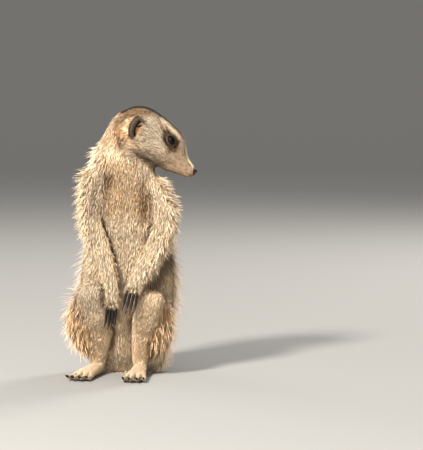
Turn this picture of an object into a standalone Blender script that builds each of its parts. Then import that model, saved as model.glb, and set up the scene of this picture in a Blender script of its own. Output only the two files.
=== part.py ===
"""Meerkat sitting upright on its haunches, head turned to its left: a still, life-size body in named parts.

Units are metres. +Z is up, the chest faces -Y (turned a little towards -X), and the animal's left is +X.
The solids reach out to the tips of the coat, and stand on the floor at Z = 0.
"""
import math

import bmesh
import bpy
from mathutils import Matrix, Vector

# ---- driving dimensions, in millimetres unless the name says otherwise ----
MM = 0.001
GAP = 0.3                      # clearance between neighbouring parts
BODY_TURN = math.radians(-12)  # the trunk's turn about the vertical
HEAD_PITCH = math.radians(30)  # nose below level
NOSE_TIP = Vector((64.5, 2.0, 178.8))
EYE_RADIUS = 4.9
FORE_CLAW = {"length": 16.5, "radius": 1.3, "curl": 0.22}
HIND_CLAW = {"length": 6.0, "radius": 1.0, "curl": 0.30}
DOME = (30, 60)                # the angles, in degrees, of the rings that round off a large end
SMALL_DOME = (45,)             # the same on toes and claws

BODY_SIDE = Vector((math.cos(BODY_TURN), math.sin(BODY_TURN), 0))  # towards the animal's left

COATS = {
    "coat_body": ((0.55, 0.42, 0.28), 0.85),
    "coat_pale": ((0.66, 0.56, 0.43), 0.85),
    "coat_dark": ((0.10, 0.07, 0.05), 0.80),
    "ear_skin": ((0.10, 0.08, 0.07), 0.70),
    "eye": ((0.03, 0.02, 0.015), 0.10),
    "nose_skin": ((0.10, 0.06, 0.05), 0.45),
    "claw": ((0.05, 0.045, 0.04), 0.35),
}


# ---- scene, materials ----
def clear_scene():
    for obj in list(bpy.data.objects):
        bpy.data.objects.remove(obj)


def new_collection(name):
    made = bpy.data.collections.new(name)
    bpy.context.scene.collection.children.link(made)
    return made


def material(name):
    found = bpy.data.materials.get(name)
    if found:
        return found
    colour, roughness = COATS[name]
    made = bpy.data.materials.new(name)
    made.use_nodes = True
    shader = made.node_tree.nodes["Principled BSDF"]
    shader.inputs["Base Color"].default_value = (*colour, 1)
    shader.inputs["Roughness"].default_value = roughness
    shader.inputs["Metallic"].default_value = 0
    return made


# ---- swept forms ----
def smooth_between(stations, steps):
    """Catmull-Rom through the stations, each a flat list of numbers."""
    padded = [stations[0], *stations, stations[-1]]
    made = []
    for i in range(len(stations) - 1):
        a, b, c, d = padded[i:i + 4]
        for k in range(steps):
            t = k / steps
            made.append([
                0.5 * (2 * q + (r - p) * t + (2 * p - 5 * q + 4 * r - s) * t * t + (3 * q - p - 3 * r + s) * t ** 3)
                for p, q, r, s in zip(a, b, c, d)
            ])
    made.append(list(stations[-1]))
    return made


def frames_along(rings, side):
    """For each ring: centre, side axis, depth axis, tangent."""
    centres = [Vector(ring[:3]) for ring in rings]
    made = []
    for i, centre in enumerate(centres):
        tangent = (centres[min(i + 1, len(centres) - 1)] - centres[max(i - 1, 0)]).normalized()
        across = (side - tangent * side.dot(tangent)).normalized()
        made.append((centre, across, tangent.cross(across), tangent))
    return made


def dome_rings(ring, frame, outwards, roundness, angles):
    """The rings and the pole that round off one end of a sweep."""
    centre, across, depth, tangent = frame
    reach = (ring[3] + ring[4] + ring[5]) / 3 * roundness
    made = []
    for degrees in angles:
        shrink, rise = math.cos(math.radians(degrees)), math.sin(math.radians(degrees))
        moved = centre + tangent * (outwards * reach * rise)
        made.append(([*moved, *(size * shrink for size in ring[3:])], (moved, across, depth, tangent)))
    return made, centre + tangent * (outwards * reach)


def sweep_mesh(name, rings, frames, segments, start, end, angles):
    """Closed skin over elliptical rings. start and end are a dome's roundness, or 0 for a flat end."""
    body = list(zip(rings, frames))
    first_pole = last_pole = None
    if start:
        cap, first_pole = dome_rings(rings[0], frames[0], -1, start, angles)
        body = cap[::-1] + body
    if end:
        cap, last_pole = dome_rings(rings[-1], frames[-1], 1, end, angles)
        body = body + cap
    bm = bmesh.new()
    loops = []
    for ring, (centre, across, depth, _) in body:
        half_width, up, down = ring[3:]
        loop = []
        for k in range(segments):
            turn = 2 * math.pi * k / segments
            rise = math.sin(turn)
            offset = across * (half_width * math.cos(turn)) + depth * ((up if rise > 0 else down) * rise)
            loop.append(bm.verts.new((centre + offset) * MM))
        loops.append(loop)
    for low, high in zip(loops, loops[1:]):
        for k in range(segments):
            n = (k + 1) % segments
            bm.faces.new((low[k], low[n], high[n], high[k]))
    for loop, pole in ((loops[0][::-1], first_pole), (loops[-1], last_pole)):
        if pole is None:
            bm.faces.new(loop)
            continue
        tip = bm.verts.new(pole * MM)
        for k in range(segments):
            bm.faces.new((loop[k], loop[(k + 1) % segments], tip))
    mesh = bpy.data.meshes.new(name)
    bmesh.ops.recalc_face_normals(bm, faces=bm.faces)
    bm.to_mesh(mesh)
    bm.free()
    return mesh


def add_node(name, mesh, coat):
    obj = bpy.data.objects.new(name, mesh)
    MEERKAT.objects.link(obj)
    mesh.materials.append(material(coat))
    mesh.shade_smooth()
    return obj


def add_cutter(name, mesh):
    obj = bpy.data.objects.new(name, mesh)
    CUTTERS.objects.link(obj)
    obj.hide_render = True
    obj.display_type = "WIRE"
    return obj


def sweep(stations, side, parts, segments=16, start=1.0, end=1.0, steps=1, angles=DOME):
    """One smooth form along the stations, divided by thin flat cuts.

    stations: (x, y, z, half width, up, down); parts: (name, last station, coat), in order.
    """
    rings = smooth_between([list(map(float, s)) for s in stations], steps)
    frames = frames_along(rings, side)
    made, first = [], 0
    for number, (name, last_station, coat) in enumerate(parts):
        last = last_station * steps
        is_last = number == len(parts) - 1
        own_rings, own_frames = [list(r) for r in rings[first:last + 1]], list(frames[first:last + 1])
        for index, shift in ((0, 0 if number == 0 else GAP / 2), (-1, 0 if is_last else -GAP / 2)):
            centre, across, depth, tangent = own_frames[index]
            own_frames[index] = (centre + tangent * shift, across, depth, tangent)
        domes = (0 if number else start, end if is_last else 0)
        mesh = sweep_mesh(name, own_rings, own_frames, segments, *domes, angles)
        made.append(add_node(name, mesh, coat))
        first = last
    return made


# ---- fitting parts together ----
def grown(mesh, name, distance):
    """A copy of the mesh, pushed out along its normals."""
    bm = bmesh.new()
    bm.from_mesh(mesh)
    bm.normal_update()
    moves = [(v, v.normal * distance * MM) for v in bm.verts]
    for v, move in moves:
        v.co += move
    made = bpy.data.meshes.new(name)
    bm.to_mesh(made)
    bm.free()
    return made


def boolean(host, other, operation):
    modifier = host.modifiers.new(f"{operation.lower()}_{other.name}", "BOOLEAN")
    modifier.operation = operation
    modifier.object = other
    modifier.solver = "EXACT"


def make_room(host, *guests, gap=GAP):
    """Cuts each guest's space, with the gap round it, out of the host."""
    for guest in guests:
        cutter = add_cutter(f"room_{host.name}_{guest.name}", grown(guest["raw"], "room", gap))
        boolean(host, cutter, "DIFFERENCE")


def join_on(host, pieces):
    """Welds pieces to the host, as toes are to a paw."""
    for piece in pieces:
        MEERKAT.objects.unlink(piece)
        CUTTERS.objects.link(piece)
        piece.hide_render = True
        piece.display_type = "WIRE"
        boolean(host, piece, "UNION")


def settle(obj, floor=0.0):
    """Presses what lies under the floor up to it, as a small flat."""
    for vertex in obj.data.vertices:
        vertex.co.z = max(vertex.co.z, floor * MM)


# ---- trunk, neck, tail ----
def build_trunk():
    """Sweep from the rump up to the nape; up is the back and down is the belly."""
    stations = [
        # x     y     z     half width, back, belly
        (7.0, 25.0, 5.0, 30.0, 21.0, 19.0),
        (4.2, 23.0, 20.0, 36.2, 29.0, 28.0),
        (1.6, 20.5, 43.0, 40.6, 34.0, 31.5),
        (2.5, 17.5, 67.0, 43.0, 35.0, 34.5),
        (4.0, 14.5, 90.0, 42.0, 34.0, 33.5),
        (5.5, 12.0, 112.0, 37.0, 32.0, 29.5),
        (5.0, 10.5, 134.0, 31.5, 31.0, 28.0),
        (4.0, 9.0, 153.0, 30.0, 30.5, 25.0),
        (2.0, 8.0, 169.0, 30.0, 28.0, 22.0),
        (-0.8, 7.0, 182.0, 29.0, 24.5, 19.0),
        (-1.5, 7.0, 194.0, 25.0, 21.0, 17.0),
        (1.6, 6.5, 206.0, 19.6, 18.5, 15.5),
        (5.0, 6.0, 216.0, 18.2, 17.0, 13.5),
    ]
    parts = [("trunk", 9, "coat_body"), ("neck", 12, "coat_body")]
    trunk, neck = sweep(stations, BODY_SIDE, parts, segments=18, start=0.5, end=0.5)
    settle(trunk)
    return trunk, neck


def build_tail():
    """Tapering tail that lies on the floor behind the body."""
    stations = [
        # x    y      z     half width, up, down
        (6.0, 30.0, 26.0, 14.0, 14.0, 14.0),
        (8.0, 48.0, 15.5, 12.5, 12.5, 13.0),
        (9.0, 68.0, 10.6, 10.8, 10.8, 11.2),
        (8.5, 92.0, 9.0, 9.3, 9.3, 9.6),
        (6.0, 118.0, 7.8, 8.2, 8.2, 8.4),
        (2.0, 144.0, 6.9, 7.2, 7.2, 7.5),
        (-3.5, 168.0, 6.0, 6.4, 6.4, 6.6),
        (-10.0, 190.0, 5.0, 5.2, 5.2, 5.6),
        (-17.0, 208.0, 3.6, 3.4, 3.4, 4.1),
    ]
    parts = [("tail_base", 3, "coat_body"), ("tail_middle", 6, "coat_body"), ("tail_tip", 8, "coat_dark")]
    tail = sweep(stations, Vector((1, 0, 0)), parts, segments=12, start=0.5, end=1.3)
    for piece in tail:
        settle(piece)
    return tail


# ---- head ----
def head_matrix():
    """Head frame: +X runs back from the nose tip, +Y to the head's right, +Z up."""
    back = Vector((-math.cos(HEAD_PITCH), 0, math.sin(HEAD_PITCH)))
    right = Vector((0, -1, 0))
    turn = Matrix((back, right, back.cross(right))).transposed().to_4x4()
    return Matrix.Translation(NOSE_TIP * MM) @ turn


def build_head():
    """Skull and muzzle in one sweep, from the nose back to the nape."""
    profile = [
        # back from nose, axis height, half width, top line, under line
        (2.0, -2.4, 4.9, 1.6, -6.4),
        (5.0, -2.6, 6.6, 3.0, -9.0),
        (9.5, -2.4, 8.0, 4.9, -10.4),
        (14.5, -2.0, 9.4, 7.8, -11.6),
        (20.0, -1.0, 11.6, 12.8, -13.4),
        (25.5, 0.5, 14.6, 18.4, -14.4),
        (31.5, 2.0, 18.0, 21.9, -14.9),
        (39.0, 2.5, 21.0, 24.8, -15.6),
        (48.0, 2.5, 23.4, 27.2, -17.0),
        (57.0, 2.0, 24.8, 28.2, -18.4),
        (66.0, 1.5, 24.2, 26.9, -19.0),
        (74.5, 0.5, 20.8, 22.2, -17.5),
        (81.5, 0.0, 14.0, 13.5, -12.5),
    ]
    stations = [(u, 0, axis, width, top - axis, axis - under) for u, axis, width, top, under in profile]
    (head,) = sweep(stations, Vector((0, 1, 0)), [("head", len(profile) - 1, "coat_pale")], 16, 0.5, 0.35)
    head.data.transform(head_matrix())
    return head


def ellipsoid(name, centre, radii, turn, frame, segments=16, rings=10):
    """UV sphere scaled, turned and set in the head's frame."""
    bm = bmesh.new()
    size = Matrix.Diagonal((*(r * MM for r in radii), 1))
    place = frame @ Matrix.Translation(Vector(centre) * MM) @ turn @ size
    bmesh.ops.create_uvsphere(bm, u_segments=segments, v_segments=rings, radius=1, matrix=place)
    mesh = bpy.data.meshes.new(name)
    bmesh.ops.recalc_face_normals(bm, faces=bm.faces)
    bm.to_mesh(mesh)
    bm.free()
    return mesh


def build_eye(side, sign):
    centre = (33.4, sign * 12.0, 12.4)
    mesh = ellipsoid(f"eye_{side}", centre, (EYE_RADIUS,) * 3, Matrix.Identity(4), head_matrix(), 10, 6)
    return add_node(f"eye_{side}", mesh, "eye")


def build_nose():
    mesh = ellipsoid("nose", (2.2, 0, -1.3), (2.9, 3.5, 3.0), Matrix.Identity(4), head_matrix(), 10, 7)
    return add_node("nose", mesh, "nose_skin")


def build_ear(side, sign):
    """Small crescent ear: an oval pad hollowed on its forward, outer face."""
    lean = Matrix.Rotation(math.radians(13), 4, "Y") @ Matrix.Rotation(math.radians(-sign * 24), 4, "Z")
    centre = Vector((65.5, sign * 23.2, 7.5))
    pad = ellipsoid(f"ear_{side}", centre, (5.4, 5.2, 11.0), lean, head_matrix(), 12, 8)
    ear = add_node(f"ear_{side}", pad, "ear_skin")
    hollow_at = centre + Vector((-4.2, sign * 2.6, 0))
    hollow = ellipsoid(f"hollow_{side}", hollow_at, (4.4, 4.8, 8.6), lean, head_matrix(), 10, 6)
    boolean(ear, add_cutter(f"hollow_{side}", hollow), "DIFFERENCE")
    return ear


# ---- arms and forepaws ----
ARM_STATIONS = {
    # x, y, z, half width, depth
    "right": [
        (-21.0, 5.0, 172.0, 14.0, 15.0),
        (-25.5, 2.0, 158.0, 12.2, 14.0),
        (-27.0, -3.0, 143.0, 10.4, 12.0),
        (-24.8, -9.0, 129.0, 9.9, 10.8),
        (-19.4, -16.0, 115.0, 9.6, 9.8),
        (-14.2, -22.5, 101.0, 8.6, 8.6),
        (-10.6, -27.5, 88.0, 7.4, 7.2),
        (-9.2, -30.5, 77.0, 6.8, 5.8),
        (-8.8, -32.0, 67.0, 6.6, 4.8),
    ],
    "left": [
        (19.5, 2.0, 167.0, 12.5, 14.5),
        (29.8, -1.0, 156.0, 12.2, 14.0),
        (35.5, -6.5, 143.5, 10.8, 12.0),
        (35.4, -12.5, 130.0, 10.4, 10.8),
        (29.8, -19.5, 116.0, 10.0, 9.8),
        (22.8, -26.0, 104.5, 8.8, 8.6),
        (16.8, -32.0, 95.0, 7.4, 7.0),
        (12.6, -36.0, 87.0, 6.8, 5.9),
        (10.2, -38.3, 80.5, 6.4, 4.8),
    ],
}
FOREPAW = {
    "right": {"knuckles": (-8.8, -32.0, 67.0), "points": (0.02, -0.10, -1.0), "across": (0.82, -0.57, 0.0)},
    "left": {"knuckles": (10.2, -38.3, 80.5), "points": (-0.22, -0.06, -1.0), "across": (1, -0.05, -0.22)},
}


def toe_set(name, root, ahead, across, spread, toe, claw):
    """Four toes and their claws. Returns (toes, claws).

    root: middle of the knuckles; toe and claw: sizes; spread: offset of each toe along the across axis.
    """
    toes, claws = [], []
    for number, offset in enumerate(spread, 1):
        fan = (ahead + across * (offset * toe["fan"])).normalized()
        middle = 1.0 if number in (2, 3) else 0.0
        reach = toe["length"] + middle * toe["longer"]
        down = across.cross(fan).normalized() * toe["down"]
        start = root + across * offset - fan * toe["sunk"]
        knuckle = start + fan * (reach * 0.55) - down * toe["arch"]
        tip = start + fan * reach + down * toe["droop"]
        radius = toe["radius"]
        stations = [
            (*start, radius * 0.95, radius, radius),
            (*knuckle, radius * 1.05, radius, radius),
            (*tip, radius * 0.85, radius * 0.8, radius * 0.8),
        ]
        toes += sweep(stations, across, [(f"{name}_toe_{number}", 2, "coat_pale")], 6, 0.6, 0.9, 1, SMALL_DOME)
        length, thick = claw["length"] * (1 + 0.06 * middle), claw["radius"]
        claw_stations = []
        for step in range(4):
            share = step / 3
            bend = down * (claw["curl"] * length * share * share)
            place = tip - fan * (radius * 0.3) + fan * (length * share) + bend
            width = thick * (1 - 0.82 * share ** 2)
            claw_stations.append((*place, width, width * 1.25, width * 1.25))
        claws += sweep(claw_stations, across, [(f"{name}_claw_{number}", 3, "claw")], 5, 0.5, 0.9, 1, SMALL_DOME)
    return toes, claws


def build_arm(side):
    stations = [(x, y, z, width, depth, depth) for x, y, z, width, depth in ARM_STATIONS[side]]
    parts = [(f"upper_arm_{side}", 3, "coat_body"), (f"forearm_{side}", 6, "coat_body")]
    parts.append((f"forepaw_{side}", 8, "coat_pale"))
    upper, lower, paw = sweep(stations, Vector((1, 0, 0)), parts, 12, 0.7, 0.5)
    place = FOREPAW[side]
    ahead, across = Vector(place["points"]).normalized(), Vector(place["across"]).normalized()
    across = (across - ahead * across.dot(ahead)).normalized()
    sizes = {"length": 7.5, "longer": 1.6, "radius": 2.2, "fan": 0.008, "sunk": 2.5, "down": -1,
             "arch": 0.6, "droop": 0.6}
    offsets = (-4.5, -1.5, 1.5, 4.5)
    toes, claws = toe_set(f"fore_{side}", Vector(place["knuckles"]), ahead, across, offsets, sizes, FORE_CLAW)
    return upper, lower, paw, toes, claws


# ---- legs and hind feet ----
LEG_STATIONS = {
    "right": {
        "thigh": [
            (-19.0, 24.0, 33.0, 20.0, 24.0, 22.0),
            (-24.5, 11.0, 39.0, 25.0, 26.0, 26.0),
            (-28.0, -3.0, 53.0, 21.5, 24.5, 25.0),
            (-27.5, -16.0, 68.0, 15.5, 15.5, 17.0),
        ],
        "shank": [
            (-26.5, -22.0, 73.0, 12.6, 13.5, 12.5),
            (-24.0, -17.0, 54.0, 12.6, 14.0, 12.0),
            (-22.0, -7.5, 34.0, 11.0, 11.5, 10.5),
            (-21.5, 0.5, 17.0, 7.8, 8.2, 7.6),
            (-21.5, 3.0, 10.0, 6.8, 6.8, 6.6),
        ],
        "foot": {"heel": (-21.0, 6.0), "toes": (-34.5, -35.5)},
    },
    "left": {
        "thigh": [
            (21.5, 16.0, 32.0, 18.5, 24.0, 21.0),
            (23.4, 4.0, 39.0, 19.2, 26.0, 25.0),
            (25.5, -8.0, 52.0, 18.5, 23.5, 24.5),
            (25.5, -18.5, 63.0, 12.8, 13.5, 14.5),
        ],
        "shank": [
            (25.0, -23.5, 67.5, 12.8, 13.5, 12.0),
            (21.0, -19.5, 50.5, 12.8, 14.0, 12.0),
            (17.5, -12.5, 33.0, 11.2, 11.5, 10.5),
            (14.5, -5.5, 17.0, 7.9, 8.0, 7.6),
            (14.0, -2.0, 10.0, 6.8, 6.8, 6.6),
        ],
        "foot": {"heel": (16.0, 0.0), "toes": (11.5, -45.0)},
    },
}


def build_leg(side):
    sizes = LEG_STATIONS[side]
    (thigh,) = sweep(sizes["thigh"], BODY_SIDE, [(f"thigh_{side}", 3, "coat_body")], 16, 0.7, 0.8, 2)
    (shank,) = sweep(sizes["shank"], BODY_SIDE, [(f"shank_{side}", 4, "coat_body")], 12, 0.8, 0.5, 1)
    heel, toes_at = (Vector((*sizes["foot"][key], 0)) for key in ("heel", "toes"))
    ahead = (toes_at - heel).normalized()
    across = Vector((-ahead.y, ahead.x, 0))
    foot_length = (toes_at - heel).length
    shape = [
        # share of the length, height of the middle, half width, top, under
        (0.00, 5.4, 5.2, 5.2, 5.8),
        (0.22, 5.6, 6.4, 6.2, 6.0),
        (0.50, 5.0, 7.6, 5.8, 5.4),
        (0.78, 4.4, 9.0, 4.8, 4.8),
        (1.00, 3.8, 10.0, 3.8, 4.2),
    ]
    # across x ahead points down, so the sweep's up is the sole and its down is the instep
    stations = [
        (*(heel + ahead * (foot_length * share)).to_2d(), z, width, under, top)
        for share, z, width, top, under in shape
    ]
    (foot,) = sweep(stations, across, [(f"hind_foot_{side}", 4, "coat_pale")], 10, 0.8, 0.6)
    toe = {"length": 14.0, "longer": 2.0, "radius": 2.75, "fan": 0.012, "sunk": 3.0, "down": -1,
           "arch": 0.9, "droop": 0.7}
    root = toes_at + Vector((0, 0, 3.2))
    offsets = (-7.7, -2.7, 2.7, 7.7)
    toes, claws = toe_set(f"hind_{side}", root, ahead, across, offsets, toe, HIND_CLAW)
    for piece in (foot, *toes, *claws):
        settle(piece)
    return thigh, shank, foot, toes, claws


def centre_on_origin():
    """Puts the middle of the footprint's box at X = Y = 0."""
    points = [v.co for obj in MEERKAT.objects for v in obj.data.vertices]
    middle = Vector((
        (max(p.x for p in points) + min(p.x for p in points)) / 2,
        (max(p.y for p in points) + min(p.y for p in points)) / 2,
        0,
    ))
    for obj in [*MEERKAT.objects, *CUTTERS.objects]:
        obj.data.transform(Matrix.Translation(-middle))


clear_scene()
MEERKAT = new_collection("meerkat")
CUTTERS = new_collection("cutters")

trunk, neck = build_trunk()
tail = build_tail()
head = build_head()
nose = build_nose()
eyes = [build_eye("right", 1), build_eye("left", -1)]
ears = [build_ear("right", 1), build_ear("left", -1)]
arms = {side: build_arm(side) for side in ("right", "left")}
legs = {side: build_leg(side) for side in ("right", "left")}

for obj in MEERKAT.objects:
    obj["raw"] = obj.data.copy()

make_room(head, nose, *eyes)
make_room(neck, head)
make_room(trunk, head)
for ear in ears:
    make_room(ear, head)
make_room(trunk, tail[0])
for side in ("right", "left"):
    upper, lower, paw, fingers, fore_claws = arms[side]
    thigh, shank, foot, toes, hind_claws = legs[side]
    make_room(trunk, upper, lower, thigh, shank, foot)
    make_room(neck, upper)
    make_room(upper, head)
    make_room(thigh, shank, tail[0])
    make_room(shank, foot)
    join_on(paw, fingers)
    join_on(foot, toes)
    make_room(paw, *fore_claws)
    make_room(foot, *hind_claws)
centre_on_origin()
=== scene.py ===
import math

import bmesh
import bpy
import numpy as np
from mathutils import Matrix, Vector
from mathutils.bvhtree import BVHTree
from mathutils.kdtree import KDTree


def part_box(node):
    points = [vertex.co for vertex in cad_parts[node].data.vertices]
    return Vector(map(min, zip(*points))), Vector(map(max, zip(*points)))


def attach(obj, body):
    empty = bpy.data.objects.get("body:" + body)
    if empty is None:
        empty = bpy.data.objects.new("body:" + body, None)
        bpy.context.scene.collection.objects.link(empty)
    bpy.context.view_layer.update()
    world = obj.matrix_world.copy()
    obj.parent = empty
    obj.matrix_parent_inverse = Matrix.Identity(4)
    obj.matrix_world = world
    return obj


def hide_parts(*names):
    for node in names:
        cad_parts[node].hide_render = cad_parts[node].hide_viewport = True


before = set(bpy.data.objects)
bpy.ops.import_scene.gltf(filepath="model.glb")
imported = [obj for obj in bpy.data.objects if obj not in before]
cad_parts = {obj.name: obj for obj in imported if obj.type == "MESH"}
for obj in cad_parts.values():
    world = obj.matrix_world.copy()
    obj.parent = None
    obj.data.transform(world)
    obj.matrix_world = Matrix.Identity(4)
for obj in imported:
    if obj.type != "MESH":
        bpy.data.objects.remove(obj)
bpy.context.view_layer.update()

# A meerkat sitting up on its haunches. Sizes in the dictionaries are millimetres, angles are degrees.
mm = 0.001
sides = ("left", "right")
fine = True

shot = {
    "aside": 70.0,  # the aim, towards the animal's left of the middle
    "depth": -74.0,
    "up": 131.6,
    "tall": 394.0,  # what the view's height takes in at the aim
    "away": 2200.0,
    "elevation": 4.4,
    "sensor": 36.0,
}

lights = {
    # name: place, aim height, side of the square, watts, colour
    "keyLight": ((-900, -1540, 1400), 100, 300, 109.0, (1.0, 0.96, 0.885)),
    "fillLight": ((-250, -2100, 250), 80, 900, 24.0, (1.0, 0.90, 0.78)),
    "rimLight": ((900, 1200, 1100), 140, 500, 26.0, (1.0, 0.97, 0.92)),
    "backLight": ((-1200, 1000, 700), 120, 900, 9.0, (1.0, 0.97, 0.93)),
}
surround = {
    "sky": (0.90, 0.885, 0.87),
    "strength": 0.56,
    "paper": (0.27, 0.266, 0.258),
    "flatOut": 3200.0,  # the floor is flat this far out, then curves up
    "curve": 2600.0,  # radius of that curve
    "steps": 12,
    "stepTurn": 6.0,
}


def unit(rows):
    rows = np.asarray(rows, float)
    return rows / np.maximum(np.linalg.norm(rows, axis=-1, keepdims=True), 1e-12)


def ease(values, low, high):
    # 0 up to low, 1 from high on, smooth between
    share = np.clip((np.asarray(values, float) - low) / (high - low), 0, 1)
    return share * share * (3 - 2 * share)


def between(values, low, full, last, high):
    # rises from low to full, and falls again from last to high
    return ease(values, low, full) * (1 - ease(values, last, high))


def alongSkin(ways, normals):
    # ways without what leads off the skin
    return ways - normals * (ways * normals).sum(axis=1)[:, None]


def nodeMiddle(name):
    low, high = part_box(name)
    return np.array((low + high) / 2)


def addObject(name, mesh):
    made = bpy.data.objects.new(name, mesh)
    bpy.context.scene.collection.objects.link(made)
    return made


def meshFrom(bm, name):
    mesh = bpy.data.meshes.new(name)
    bm.to_mesh(mesh)
    bm.free()
    return mesh


def modifiedMesh(holder):
    # the holder's mesh with its modifier applied; the holder goes
    made = bpy.data.meshes.new_from_object(holder.evaluated_get(bpy.context.evaluated_depsgraph_get()))
    bpy.data.objects.remove(holder)
    return made


def addPiece(name, mesh, stands=()):
    made = addObject(name, mesh)
    if stands:
        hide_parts(*stands)
    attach(made, "root")
    return made


def put(tree, kind, feeds=None, **settings):
    # a shader node; feeds maps a socket to a value or to another node's output
    made = tree.nodes.new("ShaderNode" + kind)
    for name, value in settings.items():
        setattr(made, name, value)
    plug(tree, made, feeds or {})
    return made


def plug(tree, made, feeds):
    for place, value in feeds.items():
        if isinstance(value, bpy.types.NodeSocket):
            tree.links.new(value, made.inputs[place])
        else:
            made.inputs[place].default_value = value


def maths(tree, operation, *values):
    return put(tree, "Math", dict(enumerate(values)), operation=operation).outputs[0]


def blendColour(tree, share, first, second, way="MIX"):
    # first where share is 0, second where it is 1
    feeds = {0: share, 6: first, 7: second}
    return put(tree, "Mix", feeds, data_type="RGBA", blend_type=way, clamp_factor=True).outputs[2]


def tinted(tree, colour, tint):
    return blendColour(tree, 1.0, colour, tint, "MULTIPLY")


def greyColour(tree, value):
    return put(tree, "CombineColor", {0: value, 1: value, 2: value}).outputs[0]


def ramp(tree, value, low, high, start=0.0, end=1.0):
    feeds = {0: value, 1: low, 2: high, 3: start, 4: end}
    return put(tree, "MapRange", feeds, interpolation_type="SMOOTHSTEP").outputs[0]


def newGroup(name, inputs, outputs):
    # a shader node group with named sockets: {name: (kind, default)} and {name: kind}
    group = bpy.data.node_groups.new(name, "ShaderNodeTree")
    for label, (kind, value) in inputs.items():
        socket = group.interface.new_socket(label, in_out="INPUT", socket_type="NodeSocket" + kind)
        if value is not None:
            socket.default_value = value
    for label, kind in outputs.items():
        group.interface.new_socket(label, in_out="OUTPUT", socket_type="NodeSocket" + kind)
    return group, group.nodes.new("NodeGroupInput").outputs, group.nodes.new("NodeGroupOutput").inputs


def useGroup(tree, group, feeds):
    made = tree.nodes.new("ShaderNodeGroup")
    made.node_tree = group
    plug(tree, made, feeds)
    return made.outputs


def newMaterial(name, **plain):
    # plain gives the shader's own values, such as Roughness=0.6
    made = bpy.data.materials.new(name)
    made.use_nodes = True
    shader = made.node_tree.nodes["Principled BSDF"]
    for label, value in plain.items():
        shader.inputs[label.replace("_", " ")].default_value = value
    return made, made.node_tree, shader.inputs


def makeFloor():
    # a flat floor that curves up into a backdrop far out, turned about the middle
    bm = bmesh.new()
    profile = [bm.verts.new((0, 0, 0)), bm.verts.new((surround["flatOut"] * mm, 0, 0))]
    for step in range(1, surround["steps"] + 1):
        turn = math.radians(step * surround["stepTurn"])
        out = surround["flatOut"] + surround["curve"] * math.sin(turn)
        profile.append(bm.verts.new((out * mm, 0, surround["curve"] * (1 - math.cos(turn)) * mm)))
    edges = [bm.edges.new(pair) for pair in zip(profile, profile[1:])]
    bmesh.ops.spin(bm, geom=[*profile, *edges], axis=(0, 0, 1), cent=(0, 0, 0), angle=2 * math.pi, steps=96,
                   use_merge=True)
    bmesh.ops.remove_doubles(bm, verts=bm.verts, dist=1e-5)
    bmesh.ops.recalc_face_normals(bm, faces=bm.faces)
    mesh = meshFrom(bm, "floor")
    mesh.shade_smooth()
    material, tree, inputs = newMaterial("floorPaper", Roughness=0.9)
    place = put(tree, "TexCoord").outputs["Object"]
    grain = put(tree, "TexNoise", {"Vector": place, "Scale": 900.0, "Detail": 2.0}).outputs[0]
    tone = ramp(tree, grain, 0.3, 0.7, 0.97, 1.0)
    colour = tinted(tree, (*surround["paper"], 1), greyColour(tree, tone))
    tree.links.new(colour, inputs["Base Color"])
    mesh.materials.append(material)
    return addObject("floor", mesh)


def setStudio():
    aim = Vector((shot["aside"], shot["depth"], shot["up"])) * mm
    rise = math.radians(shot["elevation"])
    back = Vector((0, -math.cos(rise), math.sin(rise)))
    lens = bpy.data.cameras.new("camera")
    lens.sensor_width = shot["sensor"]
    lens.lens = shot["sensor"] * shot["away"] / shot["tall"]
    lens.clip_start = 0.05
    camera = addObject("camera", lens)
    camera.location = aim + back * (shot["away"] * mm)
    camera.rotation_euler = (-back).to_track_quat("-Z", "Y").to_euler()
    bpy.context.scene.camera = camera
    for name, (place, height, side, watts, colour) in lights.items():
        lamp = bpy.data.lights.new(name, "AREA")
        lamp.size = side * mm
        lamp.energy = watts
        lamp.color = colour
        holder = addObject(name, lamp)
        holder.location = Vector(place) * mm
        look = Vector((0, 0, height)) * mm - holder.location
        holder.rotation_euler = look.to_track_quat("-Z", "Y").to_euler()
    world = bpy.data.worlds.new("studio")
    world.use_nodes = True
    sky = world.node_tree.nodes["Background"].inputs
    sky["Color"].default_value = (*surround["sky"], 1)
    sky["Strength"].default_value = surround["strength"]
    bpy.context.scene.world = world
    bpy.context.scene.view_settings.view_transform = "Standard"
    makeFloor()


setStudio()
print("studio set")

# The head has its own axes: back from the nose, towards its left, and up.
nose = nodeMiddle("nose")
eyeMiddles = {side: nodeMiddle("eye_" + side) for side in sides}
earMiddles = {side: nodeMiddle("ear_" + side) for side in sides}
headBack = unit((earMiddles["left"] + earMiddles["right"]) / 2 - nose)
headLeft = unit(eyeMiddles["left"] - eyeMiddles["right"])
headUp = np.cross(headLeft, headBack)
headAxes = np.array((headBack, headLeft, headUp))

# The body's own: its left, and the way the chest faces.
bodyLeft = unit((nodeMiddle("upper_arm_left") - nodeMiddle("upper_arm_right")) * (1, 1, 0))
bodyFront = np.array((bodyLeft[1], -bodyLeft[0], 0))


def inHead(points):
    # places in the head's axes, in millimetres from the middle of the nose
    return (points - nose) @ headAxes.T / mm


def mirrored(places):
    # places in the head's axes with its right half folded onto its left
    return np.abs(places) * (0, 1, 0) + places * (1, 0, 1)


def onBodySide(points, side):
    return (points @ bodyLeft > 0) == (side == "left")


def readColumns(items, label, width=3, kind=float):
    flat = np.empty(len(items) * width, kind)
    items.foreach_get(label, flat)
    return flat.reshape(-1, width)


def readPoints(mesh):
    return readColumns(mesh.vertices, "co")


def readNormals(mesh):
    return readColumns(mesh.vertices, "normal")


def readEdges(mesh):
    return readColumns(mesh.edges, "vertices", 2, int)


def writePoints(mesh, points):
    mesh.vertices.foreach_set("co", points.ravel())
    mesh.update()


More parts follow.
